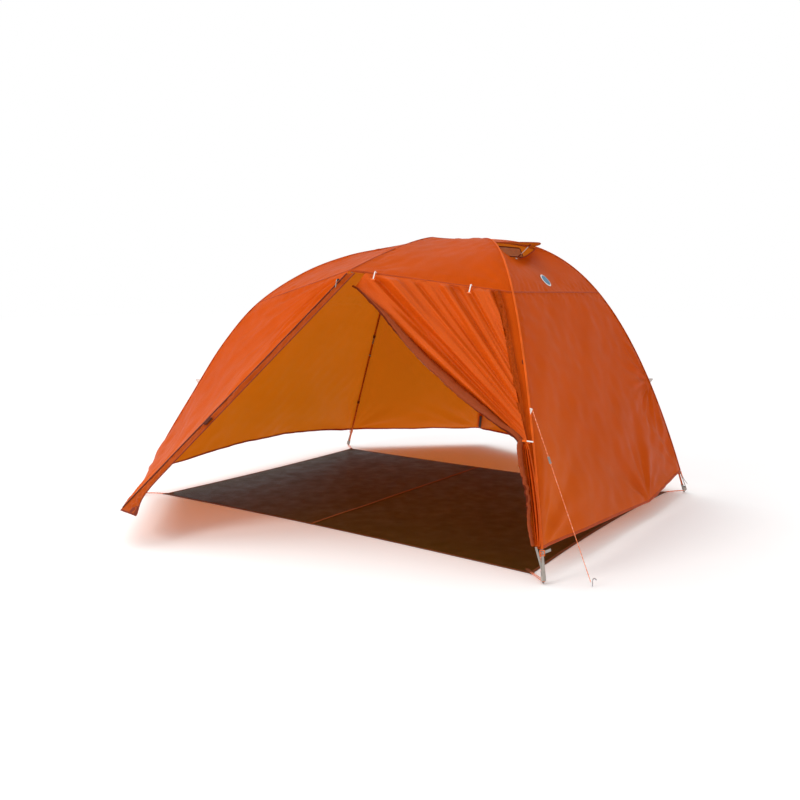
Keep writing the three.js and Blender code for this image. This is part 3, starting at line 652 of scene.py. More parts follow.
def add_lamp(data, place, aim, gloss=False):
    """A lamp that shines from one place towards another. gloss lets it show in reflections."""
    lamp = bpy.data.objects.new(data.name, data)
    lamp.visible_glossy = gloss
    lamp.rotation_euler = (Vector(aim) - Vector(place)).to_track_quat("-Z", "Y").to_euler()
    bpy.context.scene.collection.objects.link(lamp)
    return lamp


def area_light(name, place, aim, size, power, tint=(1, 1, 1), gloss=False):
    data = bpy.data.lights.new(name, "AREA")
    data.shape, data.size, data.energy, data.color = "SQUARE", size, power, tint
    add_lamp(data, place, aim, gloss).location = place


def make_stage():
    floor = Bundle()
    size, drop = 30.0, -0.0005
    corners = [(-size, -size, drop), (size, -size, drop), (size, size, drop), (-size, size, drop)]
    floor.add(np.array(corners), [[0, 1, 2, 3]], np.zeros((4, 2)))
    n = Nodes("pale_floor")
    n.set(Base_Color=n.patchy(n.noise(2.0, 2), 0.93, 0.96, 0.0, 1.0), Roughness=1.0, Specular_IOR_Level=0.0)
    floor.make("floor", n.material)
    make_world()
    sun = bpy.data.lights.new("soft_top_light", "SUN")
    sun.energy, sun.angle = 1.42, math.radians(60)
    add_lamp(sun, SUN_FROM, (0, 0, 0))
    area_light("key", (-3.8, -2.4, 2.2), (-0.4, 0, 0.6), 1.6, 12, (1.0, 0.98, 0.95), True)
    area_light("front", (-1.0, -4.4, 2.4), (0.5, -0.6, 0.8), 1.4, 70, (1.0, 0.98, 0.95))
    area_light("fill", (4.2, -2.4, 2.2), (0.3, 0, 0.6), 2.0, 14)


def make_world():
    """White all round. The backdrop shows full white while its light on the tent is softer."""
    world = bpy.data.worlds.new("studio")
    world.use_nodes = True
    tree = world.node_tree
    soft = tree.nodes["Background"]
    soft.inputs[0].default_value, soft.inputs[1].default_value = (1.0, 1.0, 1.0, 1.0), 0.68
    backdrop = tree.nodes.new("ShaderNodeBackground")
    backdrop.inputs[0].default_value, backdrop.inputs[1].default_value = (1.0, 1.0, 1.0, 1.0), 1.0
    rays, pick = tree.nodes.new("ShaderNodeLightPath"), tree.nodes.new("ShaderNodeMixShader")
    tree.links.new(rays.outputs["Is Camera Ray"], pick.inputs[0])
    tree.links.new(soft.outputs[0], pick.inputs[1])
    tree.links.new(backdrop.outputs[0], pick.inputs[2])
    tree.links.new(pick.outputs[0], tree.nodes["World Output"].inputs["Surface"])
    bpy.context.scene.world = world
    bpy.context.scene.view_settings.view_transform = "Standard"


make_camera()
make_guyline()
make_stage()

# ---- the fly: one skin, welded along its seams
RISE = shares(97)          # rows from the hem to the roof seam
RUN = shares(91)           # columns along a roof seam, from a leg to the brow pole's end
SPAN = shares(111)         # columns across an end, from the front leg to the rear one
VENT_V = (FR.vent - FR.roof) / (1 - FR.roof)
ROOF = np.concatenate([np.linspace(0, VENT_V, 31), np.linspace(VENT_V, 1, 25)[1:]])
SIDE_ZIP_COLUMN = 9                   # the side zip meets the roof seam at this column


def coons(bottom, top, left, right, u, v):
    b, t, l, r = bottom(u), top(u), left(v), right(v)
    uu, vv = u[None, :, None], v[:, None, None]
    ruled = l[:, None] * (1 - uu) + r[:, None] * uu + b[None] * (1 - vv) + t[None] * vv
    corners = (b[0] * (1 - uu) + b[-1] * uu) * (1 - vv) + (t[0] * (1 - uu) + t[-1] * uu) * vv
    return ruled - corners


def normals_of(grid):
    normal = unit(np.cross(np.gradient(grid, axis=1), np.gradient(grid, axis=0)))
    outward = ((grid - TENT_HEART) * normal).sum(-1)
    return normal * np.where(outward.mean() > 0, 1.0, -1.0)


def panel(edges, u, v, sag=0.0, folds=(), seed=1, free=(), pucker=0.0022):
    """A panel's grid of points: pulled in between its seams, with folds that run from where it is tied.

    folds are (point, reach, height, how many a radian). free names the edges that aren't sewn down.
    """
    grid = coons(*edges, u, v)
    normal = normals_of(grid)
    uu, vv = np.meshgrid(u, v)
    wide = np.linalg.norm(np.diff(grid, axis=1), axis=2).sum(1).mean()
    high = np.linalg.norm(np.diff(grid, axis=0), axis=2).sum(0).mean()
    gaps = {"left": uu * wide, "right": (1 - uu) * wide, "bottom": vv * high, "top": (1 - vv) * high}
    sewn = [gap for name, gap in gaps.items() if name not in free]
    nearest = np.minimum.reduce(sewn)
    hold = ease(nearest / 0.05)
    lift = -sag * arch(uu) * np.sin(np.pi * np.clip(vv, 0.02 if "bottom" in free else 0, 1) ** 0.8)
    lift += (0.0050 * ripple(grid, 0.34, seed) + 0.0013 * ripple(grid, 0.11, seed + 25)) * hold
    lift += pucker * ripple(grid, 0.036, seed + 50) * np.exp(-nearest / 0.045) * ease(nearest / 0.010)
    for number, (anchor, reach, height, rate) in enumerate(folds):
        lift += fan(grid, normal, np.asarray(anchor), reach, height, rate, seed * 10 + number) * hold
    return grid + normal * lift[..., None]


def fan(grid, normal, anchor, reach, height, rate, seed):
    """Tension folds: ridges that leave an anchor like spokes, rise quickly and fade with distance."""
    away = grid - anchor
    n = unit(normal.reshape(-1, 3).mean(0))
    first = unit(np.cross(n, UP))
    second = np.cross(n, first)
    x, y = away @ first, away @ second
    far = np.hypot(x, y)
    angle = np.unwrap(np.arctan2(y, x), axis=1)
    rng = np.random.default_rng(seed)
    wave = np.zeros_like(angle)
    for k, share in ((1.0, 1.0), (1.73, 0.6), (2.61, 0.35)):
        bend = 0.25 * np.sin(far / reach * 2.0 + rng.uniform(0, 6))
        wave += share * np.sin(rate * k * (angle + bend * 0.3) + rng.uniform(0, 6))
    sharp = np.sign(wave) * np.abs(wave) ** 0.8
    return height * sharp * ease(far / (0.35 * reach)) * np.exp(-(far / reach) ** 1.6)


def right_hem(t):
    corner, far_corner = FR.rising(0.0), RR.rising(0.0)
    p = mix(corner, far_corner, t)
    reach = np.where(p[:, 1] < 0.25, 0.25 + TIP[1], TIP[1] - 0.25)
    pull = np.maximum(0, 1 - np.abs(p[:, 1] - 0.25) / reach)
    return p + pull[:, None] * P(0.036, 0, -0.046)


def left_hem(t):
    t = np.asarray(t, float)
    return mix(FL.rising(0.0), RL.rising(0.0), t) + (4 * t * (1 - t))[:, None] * P(0, 0, 0.062)


def vent_line(step):
    return straight(FR.seam(FR.vent + step), RR.seam(RR.vent + step))


def vent_lip(t):
    t = np.asarray(t, float)
    p = vent_line(-0.012)(t)
    sag = arch(t)
    p[:, 0] = lerp(p[:, 0], 0.566, sag)
    p[:, 2] = lerp(p[:, 2], 1.204, sag)
    return p


def roof_seam(leg):
    """From a leg's seam (0) to the brow pole's end (1)."""
    return straight(leg.rising(1.0), BROW_END[leg.side])


def side_zip(t):
    """The open door's side zip, from the hem (0) to the roof seam (1)."""
    t = np.asarray(t, float)
    top = roof_seam(FR)(RUN[SIDE_ZIP_COLUMN]) - FR.rising(1.0)
    foot = unit(P(-0.95, -0.3, 0.06)) * 0.016
    return FR.rising(t) + mix(foot, top, t)


def lifted(hub):
    return lambda t: np.broadcast_to(P(*hub) + P(0, 0, FLY_TOP), (len(t), 3))


def make_fly():
    sewn = []
    for leg in (FL, FR, RL, RR):
        hub = HUB_LEFT if leg in (FL, RL) else HUB_RIGHT
        edges = (roof_seam(leg), ridge_seam(hub), leg.roofing, brow_seam(leg.side))
        sewn.append(panel(edges, RUN, ROOF, sag=0.010, seed=3 + leg.side, folds=[
            (BROW_END[leg.side], 0.34, 0.0028, 9), (leg.rising(1.0), 0.28, 0.0024, 8)]))
    for leg, foot in ((FL, FOOT_FRONT), (RL, FOOT_REAR)):
        corner, top = leg.rising(0.0), BROW_END[leg.side]
        edges = (straight(corner, foot), roof_seam(leg), leg.rising, straight(foot, top))
        sewn.append(panel(edges, RUN, RISE, sag=0.016, seed=11 + leg.side, free=("bottom",), folds=[
            (foot, 0.55, 0.0075, 10), (corner, 0.34, 0.0045, 9), (top, 0.6, 0.0100, 13),
            (top, 0.55, 0.0045, 34)]))
    foot = straight(FOOT_REAR, RR.rising(0.0))
    edges = (foot, lambda t: roof_seam(RR)(1 - t), straight(FOOT_REAR, BROW_END[1]), RR.rising)
    sewn.append(panel(edges, RUN, RISE, sag=0.014, seed=21, free=("bottom",), folds=[
        (FOOT_REAR, 0.75, 0.0125, 9), (RR.rising(0.0), 0.35, 0.0050, 9), (BROW_END[1], 0.6, 0.0070, 11)]))
    edges = (left_hem, straight(FL.rising(1.0), RL.rising(1.0)), FL.rising, RL.rising)
    sewn.append(panel(edges, SPAN, RISE, sag=0.020, seed=31, free=("bottom",), folds=[
        (FL.rising(0.0), 0.40, 0.0060, 8), (RL.rising(0.0), 0.40, 0.0060, 8)]))
    edges = (straight(FL.rising(1.0), RL.rising(1.0)), lifted(HUB_LEFT), FL.roofing, RL.roofing)
    sewn.append(panel(edges, SPAN, ROOF, sag=0.010, seed=37))
    edges = (right_hem, straight(FR.rising(1.0), RR.rising(1.0)), FR.rising, RR.rising)
    sewn.append(panel(edges, SPAN, RISE, sag=0.020, seed=41, free=("bottom",), folds=[
        (FR.rising(0.0), 0.45, 0.0080, 8), (RR.rising(0.0), 0.45, 0.0080, 8),
        (RR.seam(RR.level(GUY_Z)), 0.22, 0.0080, 14), (right_hem(np.array([0.66]))[0], 0.34, 0.0080, 7)]))
    low = ROOF[:31] / VENT_V
    edges = (straight(FR.rising(1.0), RR.rising(1.0)), vent_lip,
             lambda t: FR.seam(lerp(FR.roof, FR.vent - 0.012 * t, t)),
             lambda t: RR.seam(lerp(RR.roof, RR.vent - 0.012 * t, t)))
    sewn.append(panel(edges, SPAN, low, sag=0.006, seed=43, free=("top",)))
    high = (ROOF[30:] - VENT_V) / (1 - VENT_V)
    edges = (vent_line(0), lifted(HUB_RIGHT), lambda t: FR.seam(lerp(FR.vent, 1, t)),
             lambda t: RR.seam(lerp(RR.vent, 1, t)))
    sewn.append(panel(edges, SPAN, high, sag=0.002, seed=47))
    strip = RUN[:SIDE_ZIP_COLUMN + 1] / RUN[SIDE_ZIP_COLUMN]
    foot, top = (straight(FR.rising(end), side_zip(end)) for end in (0.0, 1.0))
    edges = (foot, top, FR.rising, side_zip)
    sewn.append(panel(edges, strip, RISE, sag=0.002, seed=53, free=("bottom", "right"), pucker=0.0014))
    points, faces, uvs, count = [], [], [], 0
    for number, grid in enumerate(sewn):
        rows, columns = grid.shape[:2]
        points.append(grid.reshape(-1, 3))
        uvs.append((flat_uv(grid) + 0.37 * number).reshape(-1, 2))
        faces += grid_faces(rows, columns, count)
        count += rows * columns
    points, uvs = np.concatenate(points), np.concatenate(uvs)
    fly = mesh_object("fly_canopy", points, faces, uvs, MAT["fly"], weld=0.0006)
    b = bmesh.new()
    b.from_mesh(fly.data)
    bmesh.ops.recalc_face_normals(b, faces=b.faces)
    b.to_mesh(fly.data)
    b.free()
    apart = ("fly_storm_flap", "fly_door_tied_back")
    nodes = [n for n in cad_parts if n.startswith("fly_") and n not in apart]
    piece(fly, replaces=nodes)
    return sewn


FLY = make_fly()
VESTIBULE_FRONT, VESTIBULE_REAR, DOOR_REAR, LEFT_END, RIGHT_END, RIGHT_TOP, STRIP = (
    FLY[k] for k in (4, 5, 6, 7, 9, 10, 12))

# ---- seams, hems and bindings


def outward(line):
    """A direction away from the tent's middle at each point of a line, square to it."""
    return square(line - TENT_HEART, tangents(line))


def band(bundle, line, normal, width, thick, lift=0.0):
    """A strip sewn flat on the fly along a line."""
    line = evenly(line, 0.012)
    normal = sampled(normal, shares(len(normal)), shares(len(line)))
    return bundle.sweep(line + unit(normal) * lift, tape_profile(width, thick), up=normal)


def make_seams():
    """Bright tape over each leg and pole, and flat-felled seams where two panels meet."""
    tape, felled = Bundle(), Bundle()
    rise = shares(90)
    narrow, wide = (0.0085, 0.0010, 0.0006), (0.0095, 0.0012, 0.0008)
    for leg in (FL, FR, RL, RR):
        line = leg.seam(lerp(leg.foot, 1.0, rise))
        band(tape, line, outward(line), 0.0085, 0.0016, 0.0012)
    seams = [(roof_seam(leg)(rise), narrow) for leg in (FL, FR, RL, RR)]
    seams += [(brow_seam(side)(rise), wide) for side in (-1, 1)]
    seams += [(ridge_seam(hub)(rise), wide) for hub in (HUB_LEFT, HUB_RIGHT)]
    seams += [(RIGHT_END[-1], narrow), (vent_line(0)(rise), narrow)]
    for line, size in seams:
        band(felled, line, outward(line), *size)
    tape.done("leg_seam_tape", "seam", "fly_trim")
    felled.done("felled_seams", "felled", "fly_nylon")


def hem_line(grid, inset):
    """The hem of a panel, moved in from its bottom edge, and the panel's normal along it."""
    up = unit(grid[1] - grid[0])
    return grid[0] + up * inset, normals_of(grid)[0]


def make_hems():
    hems = Bundle()
    for grid in (VESTIBULE_FRONT, VESTIBULE_REAR, DOOR_REAR, LEFT_END, RIGHT_END, STRIP):
        line, normal = hem_line(grid, 0.005)
        band(hems, line, normal, 0.0115, 0.0018)
    lip, normal = RIGHT_TOP[-1], normals_of(RIGHT_TOP)[-1]
    band(hems, lip, normal, 0.009, 0.0016)
    under = roof_seam(FR)(shares(60)) + P(0, -0.001, -0.004)
    band(hems, under, outward(under), 0.010, 0.0018)
    hems.done("fly_hems", "felled", "fly_nylon")


# ---- zips and storm flaps
FLAP_ACROSS = unit(P(0.98, -0.18, 0.02))
DOOR_OUT = unit(P(0.30, -0.88, 0.36))


def zip_out(side):
    return P(-0.35, side * 0.85, 0.40)


def make_zip(name, line, out):
    """Woven tape on both sides of a nylon coil. The coil is a thin helix along the line."""
    line = evenly(line, 0.010)
    out = np.broadcast_to(unit(out), line.shape)
    tape = Bundle().sweep(line + out * 0.0010, tape_profile(0.011, 0.0010, 0.1), up=out)
    tape.done(f"{name}_tape", "dark", "fly_trim")
    far = length_of(line)
    turns = far / 0.0030
    t = shares(int(turns * 6))
    middle = sampled(line, shares(len(line)), t)
    along = unit(line[-1] - line[0])
    up = square(out[0], along)
    across = np.cross(along, up)
    a = t[:, None] * turns * 2 * np.pi
    helix = middle + up * 0.0026 + across * np.cos(a) * 0.0026 + up * np.sin(a) * 0.0010
    coil = Bundle().sweep(helix, ring(0.00055, 5), up=up)
    coil.done(f"{name}_coil", "coil", "fly_trim")


def flap_width(t):
    return 0.052 + (0.140 - 0.052) * np.exp(-((t / 0.045) ** 1.4))


def make_storm_flap():
    """The strip beside the open door's zip: bound on its edge, and wider at its foot."""
    t = np.concatenate([np.linspace(0.001, 0.12, 40), np.linspace(0.12, 0.985, 130)[1:]])
    across = shares(15)
    spine = mix(FOOT_FRONT, BROW_END[-1], t)
    along = unit(BROW_END[-1] - FOOT_FRONT)
    normal = unit(np.cross(FLAP_ACROSS, along))
    reach = lerp(0.0035, 1, across)[None] * flap_width(t)[:, None]
    grid = spine[:, None] + FLAP_ACROSS * reach[..., None]
    loose = arch(across)[None]
    lift = loose * (0.0040 * ripple(grid, 0.11, 61) + 0.0030 * ripple(grid, 0.035, 62))
    grid = grid + normal * lift[..., None]
    rows, columns = grid.shape[:2]
    flap = cloth("storm_flap", grid, "flap", replaces=["fly_storm_flap"])
    edge = Bundle()
    band(edge, grid[:, -1], np.broadcast_to(normal, (rows, 3)), 0.0075, 0.0022)
    band(edge, grid[0], np.broadcast_to(normal, (columns, 3)), 0.0075, 0.0022)
    edge.done("storm_flap_binding", "trim", "fly_trim")
    make_foot_patch(grid, normal)
    make_velcro(grid, normal)


def make_rear_flap():
    """A narrow flap over the rear zip, sewn on its left side."""
    along = unit(BROW_END[1] - FOOT_REAR)
    out = square(unit(zip_out(1)), along)
    across = unit(np.cross(out, along))
    across = across if across[0] > 0 else -across
    t, a = np.meshgrid(np.linspace(0.006, 0.975, 150), shares(14), indexing="ij")
    grid = mix(FOOT_REAR, BROW_END[1], t) + across * (lerp(-0.022, 0.026, a))[..., None]
    lift = 0.0065 * np.sin(np.pi * a * 0.62) + 0.0012 * ripple(grid, 0.05, 65) * a
    grid = grid + out * (0.0012 + lift)[..., None]
    flap = cloth("rear_storm_flap", grid, "fly")
    edge = Bundle()
    band(edge, grid[:, -1], np.broadcast_to(out, grid[:, -1].shape), 0.0075, 0.0022)
    edge.done("rear_flap_binding", "felled", "fly_trim")


def make_rear_strap():
    """A webbing strap inside the fly at the foot of the rear zip."""
    strap = Bundle()
    line = mix(FOOT_REAR, BROW_END[1], np.linspace(0.012, 0.10, 24)) - unit(zip_out(1)) * 0.010
    band(strap, line, np.broadcast_to(zip_out(1), line.shape), 0.016, 0.0020)
    strap.done("rear_zip_inner_strap", "dark_strap", "webbing_grey")


def make_foot_patch(grid, normal):
    """A half-round reinforcement sewn on the flap's foot."""
    corner, along = grid[0, -1], unit(grid[0, 0] - grid[0, -1])
    up = square(unit(grid[20, -1] - grid[0, -1]), along)
    a, r = np.meshgrid(np.linspace(0, np.pi, 21), shares(7))
    middle = corner + along * 0.036
    radius = 0.030 * r
    points = middle + along * (np.cos(a) * radius)[..., None] + up * (np.sin(a) * radius * 1.25)[..., None]
    flat = np.stack([np.cos(a) * radius, np.sin(a) * radius], -1)
    solid_sheet("flap_foot_patch", points + normal * 0.0012, flat, "trim", 0.0016)


def make_velcro(grid, normal):
    """A patch of hook tape part-way up the flap."""
    row = int(np.argmin(np.abs(np.linalg.norm(grid[:, 7] - grid[0, 7], axis=1) - 0.50)))
    middle = grid[row, 8]
    along = unit(grid[row + 3, 8] - grid[row - 3, 8])
    u, v = np.meshgrid(np.linspace(-0.014, 0.014, 8), np.linspace(-0.020, 0.020, 10))
    points = middle + FLAP_ACROSS * u[..., None] + along * v[..., None] + normal * 0.0035
    solid_sheet("flap_velcro", points, np.stack([u, v], -1), "velcro", 0.0022)


def solid_sheet(name, points, flat, material, thick):
    """A small patch with a real thickness."""
    faces = grid_faces(*points.shape[:2])
    obj = mesh_object(name, points.reshape(-1, 3), faces, flat.reshape(-1, 2), MAT[material], weld=1e-5)
    solid = obj.modifiers.new("thickness", "SOLIDIFY")
    solid.thickness, solid.offset = thick, 0.0
    return piece(obj)


# ---- the open door, rolled and tied back
HANG = shares(120)         # rows from the roof seam down to the tie
SKIRT = shares(71)[1:]     # rows from the tie down to the skirt's foot
ACROSS = shares(100)       # columns across the door, from its rolled edge to the side zip
ROLL = shares(129)         # columns through the roll
TIE_HALF = 0.011                      # half the width of the bunch in the tie
ROLL_TURNS = 8.0
ROLL_SHADE_BAND = (0.12, 0.44)              # the part of the outer turn painted dark as the shade along the roll's underside
ROLL_FACE = (0.44, 0.90)              # the part that shows the cloth's inner face


def door_top(t):
    """The door hangs under the roof seam. Its free corner starts below the end of the zip."""
    t = np.asarray(t, float)
    line = mix(BROW_END[-1], side_zip(1.0), lerp(0.030, 1.0, t))
    drop = lerp(0.070, 0.004, ease(t / 0.10))
    return line + P(0, -0.006, 0) - drop[:, None] * UP


def free_edge(t):
    """The rolled edge runs nearly straight to the tie, with a slight belly."""
    t = np.asarray(t, float)
    start = door_top(np.array([0.0]))[0]
    return mix(start, TIE - FLAP_ACROSS * TIE_HALF, t) - (0.006 * arch(t))[:, None] * UP


def door_side(t):
    """The side edge follows the side zip and leaves it to reach the tie."""
    t = np.asarray(t, float)
    zipped = side_zip(lerp(1.0, 0.43, t)) + P(-0.006, -0.004, 0)
    return mix(zipped, TIE + FLAP_ACROSS * TIE_HALF, (t ** 5))


def roll_radius(t):
    return 0.0050 + 0.0150 * ease(t / 0.50) - 0.0080 * ease((t - 0.70) / 0.30)


def make_door():
    hang = coons(lambda t: mix(TIE - FLAP_ACROSS * TIE_HALF, TIE + FLAP_ACROSS * TIE_HALF, t), door_top,
                 lambda t: free_edge(1 - t), lambda t: door_side(1 - t), ACROSS, 1 - HANG[::-1])[::-1]
    a, b = np.meshgrid(ACROSS, HANG)
    normal = np.broadcast_to(DOOR_OUT, hang.shape)
    beyond = TIE + unit(TIE - free_edge(np.array([0.0]))[0]) * 0.30
    near_edge = np.exp(-a / 0.38)
    folds = fan(hang, normal, beyond, 3.0, 1.0, 52, 71) * 2.2
    fine = fan(hang, normal, beyond, 3.0, 1.0, 120, 72) * 2.2
    keep = ease(b / 0.05) * (1 - 0.35 * ease((b - 0.9) / 0.1))
    lift = keep * (folds * (0.0050 + 0.0080 * near_edge) + fine * 0.0030)
    lift += 0.004 * ripple(hang, 0.30, 73) * keep
    lift -= 0.018 * arch(a) * arch(b)
    lift += 0.0020 * ripple(hang, 0.028, 74) * np.exp(-b / 0.05) * ease(b / 0.01)
    hang = hang + normal * lift[..., None]
    skirt, edge_skirt = make_skirt()
    sheet = np.concatenate([hang, skirt], 0)
    edge = np.concatenate([hang[:, 0], edge_skirt], 0)
    radius = np.concatenate([roll_radius(HANG), lerp(roll_radius(1.0), 0.007, SKIRT)])
    along = tangents(edge)
    inner = square(unit(sheet[:, 3] - sheet[:, 0]), along)
    out = unit(np.cross(along, inner))
    out = out * np.sign(out @ DOOR_OUT)[:, None]
    turn = (1 - ROLL)[None, :] * 2 * np.pi * ROLL_TURNS
    size = radius[:, None] * (1 - 0.80 * (1 - ROLL)[None, :])
    centre = sheet[:, 0] + out * radius[:, None]
    spiral = (centre[:, None] - out[:, None] * (np.cos(turn) * size)[..., None]
              - inner[:, None] * (np.sin(turn) * size)[..., None])
    wobble = 0.0012 * ripple(spiral, 0.05, 75) + 0.0010 * ripple(spiral, 0.018, 76)
    streaks = 0.0011 * np.sin(5.0 * turn + 2.5 * ripple(centre[:, None], 0.5, 77))
    streaks += 0.0006 * np.sin(11.0 * turn + 4.0 * ripple(centre[:, None], 0.4, 79))
    wobble = wobble + streaks
    calm = np.concatenate([np.ones(len(HANG)), np.full(len(SKIRT), 0.45)])[:, None]
    spiral = spiral + unit(spiral - centre[:, None]) * (wobble * calm * ease(size / 0.008))[..., None]
    grid = np.concatenate([spiral[:, :-1], sheet], 1)
    door = cloth("door_tied_back", grid, "door", replaces=["fly_door_tied_back"])
    paint_roll_shade(door, grid.shape[1])


def paint_roll_shade(door, columns):
    """The outer turn of the roll gets painted shade, a dark band along its underside, and beside it the
    cloth's inner face.
    """
    door.data.materials.append(MAT["roll_shade"])
    door.data.materials.append(MAT["door_face"])
    last = len(ROLL) - 1
    for number, polygon in enumerate(door.data.polygons):
        column = number % (columns - 1)
        turned = (1 - (column + 0.5) / last) * ROLL_TURNS
        # painted shade: faces on the roll's underside take the dark nylon
        if column < last and ROLL_SHADE_BAND[0] < turned < ROLL_SHADE_BAND[1]:
            polygon.material_index = 1
        elif column < last and ROLL_FACE[0] < turned < ROLL_FACE[1]:
            polygon.material_index = 2


def make_skirt():
    """Below the tie the gathered cloth opens into soft upright folds and is caught at the corner."""
    foot = side_zip(0.0) + P(0.010, -0.022, 0.016)
    bow = arch(SKIRT) ** 0.8
    middle = mix(TIE, foot, SKIRT) + bow[:, None] * FLAP_ACROSS * 0.006
    half = TIE_HALF + 0.013 * arch(SKIRT) ** 0.7
    a = ACROSS[None, :]
    points = middle[:, None] + FLAP_ACROSS * ((a * 2 - 1) * half[:, None])[..., None]
    open_up = ease(SKIRT / 0.15)[:, None] * (1 - 0.5 * ease((SKIRT - 0.8) / 0.2))[:, None]
    drift = 0.5 * np.sin(3.0 * SKIRT)[:, None]
    wave = np.sin(2 * np.pi * (3.3 * a + 0.2) + drift) + 0.5 * np.sin(2 * np.pi * (6.1 * a) + 1.3 * drift)
    lift = open_up * wave * 0.0090 + 0.0015 * ripple(points, 0.03, 78)
    points = points + DOOR_OUT * lift[..., None]
    return points, points[:, 0]


def make_side_flap():
    """The side zip's own flap: a strip of crumpled cloth from the roof seam down to the corner."""
    t = shares(190)
    a = shares(26)
    spine = side_zip(1 - t)
    wide = lerp(0.040, 0.026, t) * ease((t + 0.05) / 0.08)
    grid = spine[:, None] + FLAP_ACROSS * ((a[None] - 0.4) * wide[:, None])[..., None]
    rough = 0.0042 * ripple(grid * P(1, 1, 0.45), 0.030, 81, 14) + 0.0028 * ripple(grid, 0.016, 82, 14)
    hold = (arch(a) ** 0.4)[None] * ease(t / 0.02)[:, None]
    grid = grid + DOOR_OUT * (0.008 * hold + 0.85 * rough * hold)[..., None]
    flap = cloth("side_zip_flap", grid, "flap")


make_seams()
make_hems()
make_zip("front_zip", mix(FOOT_FRONT, BROW_END[-1], np.linspace(0.01, 0.985, 60)), zip_out(-1))
make_zip("rear_zip", mix(FOOT_REAR, BROW_END[1], np.linspace(0.01, 0.985, 60)), zip_out(1))
make_rear_strap()
make_storm_flap()
make_rear_flap()
make_door()
make_side_flap()

# ---- ground sheet


def make_ground_sheet():
    u, v = np.linspace(-1, 1, 181), np.linspace(-1, 1, 133)
    uu, vv = np.meshgrid(u, v)
    x = uu * (GROUND[0] - SHEET_CURVE * (1 - vv ** 2))
    y = vv * (GROUND[1] - SHEET_CURVE * (1 - uu ** 2))
    grid = np.stack([x, y, np.zeros_like(x)], -1)
    lift = 0.0010 + 0.0006 * (1 + ripple(grid, 0.25, 91))
    up = np.broadcast_to(UP, grid.shape)
    for number, corner in enumerate(((-1, -1), (1, -1), (1, 1), (-1, 1))):
        anchor = P(corner[0] * GROUND[0], corner[1] * GROUND[1], 0)
        lift = lift + np.abs(fan(grid, up, anchor, 0.55, 0.0045, 9, 92 + number))
    lift += 0.0003 * np.abs(ripple(grid, 0.12, 97))
    edge = np.minimum(1 - np.abs(uu), 1 - np.abs(vv))
    grid[..., 2] = 0.0008 + lift * ease(edge / 0.03)
    sheet = cloth("ground_sheet_cloth", grid, "ground", replaces=["ground_sheet"])
    trim = Bundle()
    for line in (grid[0], grid[-1], grid[:, 0], grid[:, -1]):
        middle = line * P(1 - 0.006, 1 - 0.006, 1) + P(0, 0, 0.0008)
        trim.sweep(evenly(middle, 0.02), tape_profile(0.012, 0.0014), up=UP)
    trim.done("ground_sheet_hem", "ground_trim", "ground_nylon")
    column = int(np.argmin(np.abs(u + 0.05)))
    seam = grid[:, column] + P(0, 0, 0.0010)
    middle = Bundle().sweep(evenly(seam, 0.012), tape_profile(0.010, 0.0012), up=UP)
    middle.done("ground_sheet_seam", "ground_seam", "ground_nylon")


make_ground_sheet()

# ---- poles, hubs and tips
TIP_LENGTH, HUB_REACH = 0.046, 0.030
JOIN_AT = 0.47                    # where a leg's two sections meet, as a share of its length


def make_pole(name, line, node, radius=POLE_R, sleeve=None):
    """An anodised tube. sleeve adds a bare ferrule at its start or end, where the next section plugs in."""
    Bundle().sweep(line, ring(radius, 20)).done(name, "pole", "pole_orange", replaces=[node])
    if sleeve is None:
        return
    far = length_of(line)
    share = 0.055 / far
    end = part_of(line, 1 - share, 1) if sleeve == "end" else part_of(line, 0, share)
    lip = 0.0002 + 0.0004 * (np.abs(np.linspace(-1, 1, 70)) > 0.93)
    collar = Bundle().sweep(end, ring(1.0, 20), widen=radius + 0.0003 + lip)
    collar.done(f"{name}_ferrule", "silver", "pole_orange")


def lathe_along(bundle, base, direction, stations):
    """A turned solid: stations are (distance along, radius)."""
    distances = np.array([s[0] for s in stations])
    radii = np.array([s[1] for s in stations])
    line = base + unit(np.asarray(direction, float)) * distances[:, None]
    return bundle.sweep(line, ring(1.0, 20), widen=np.maximum(radii, 1e-4))


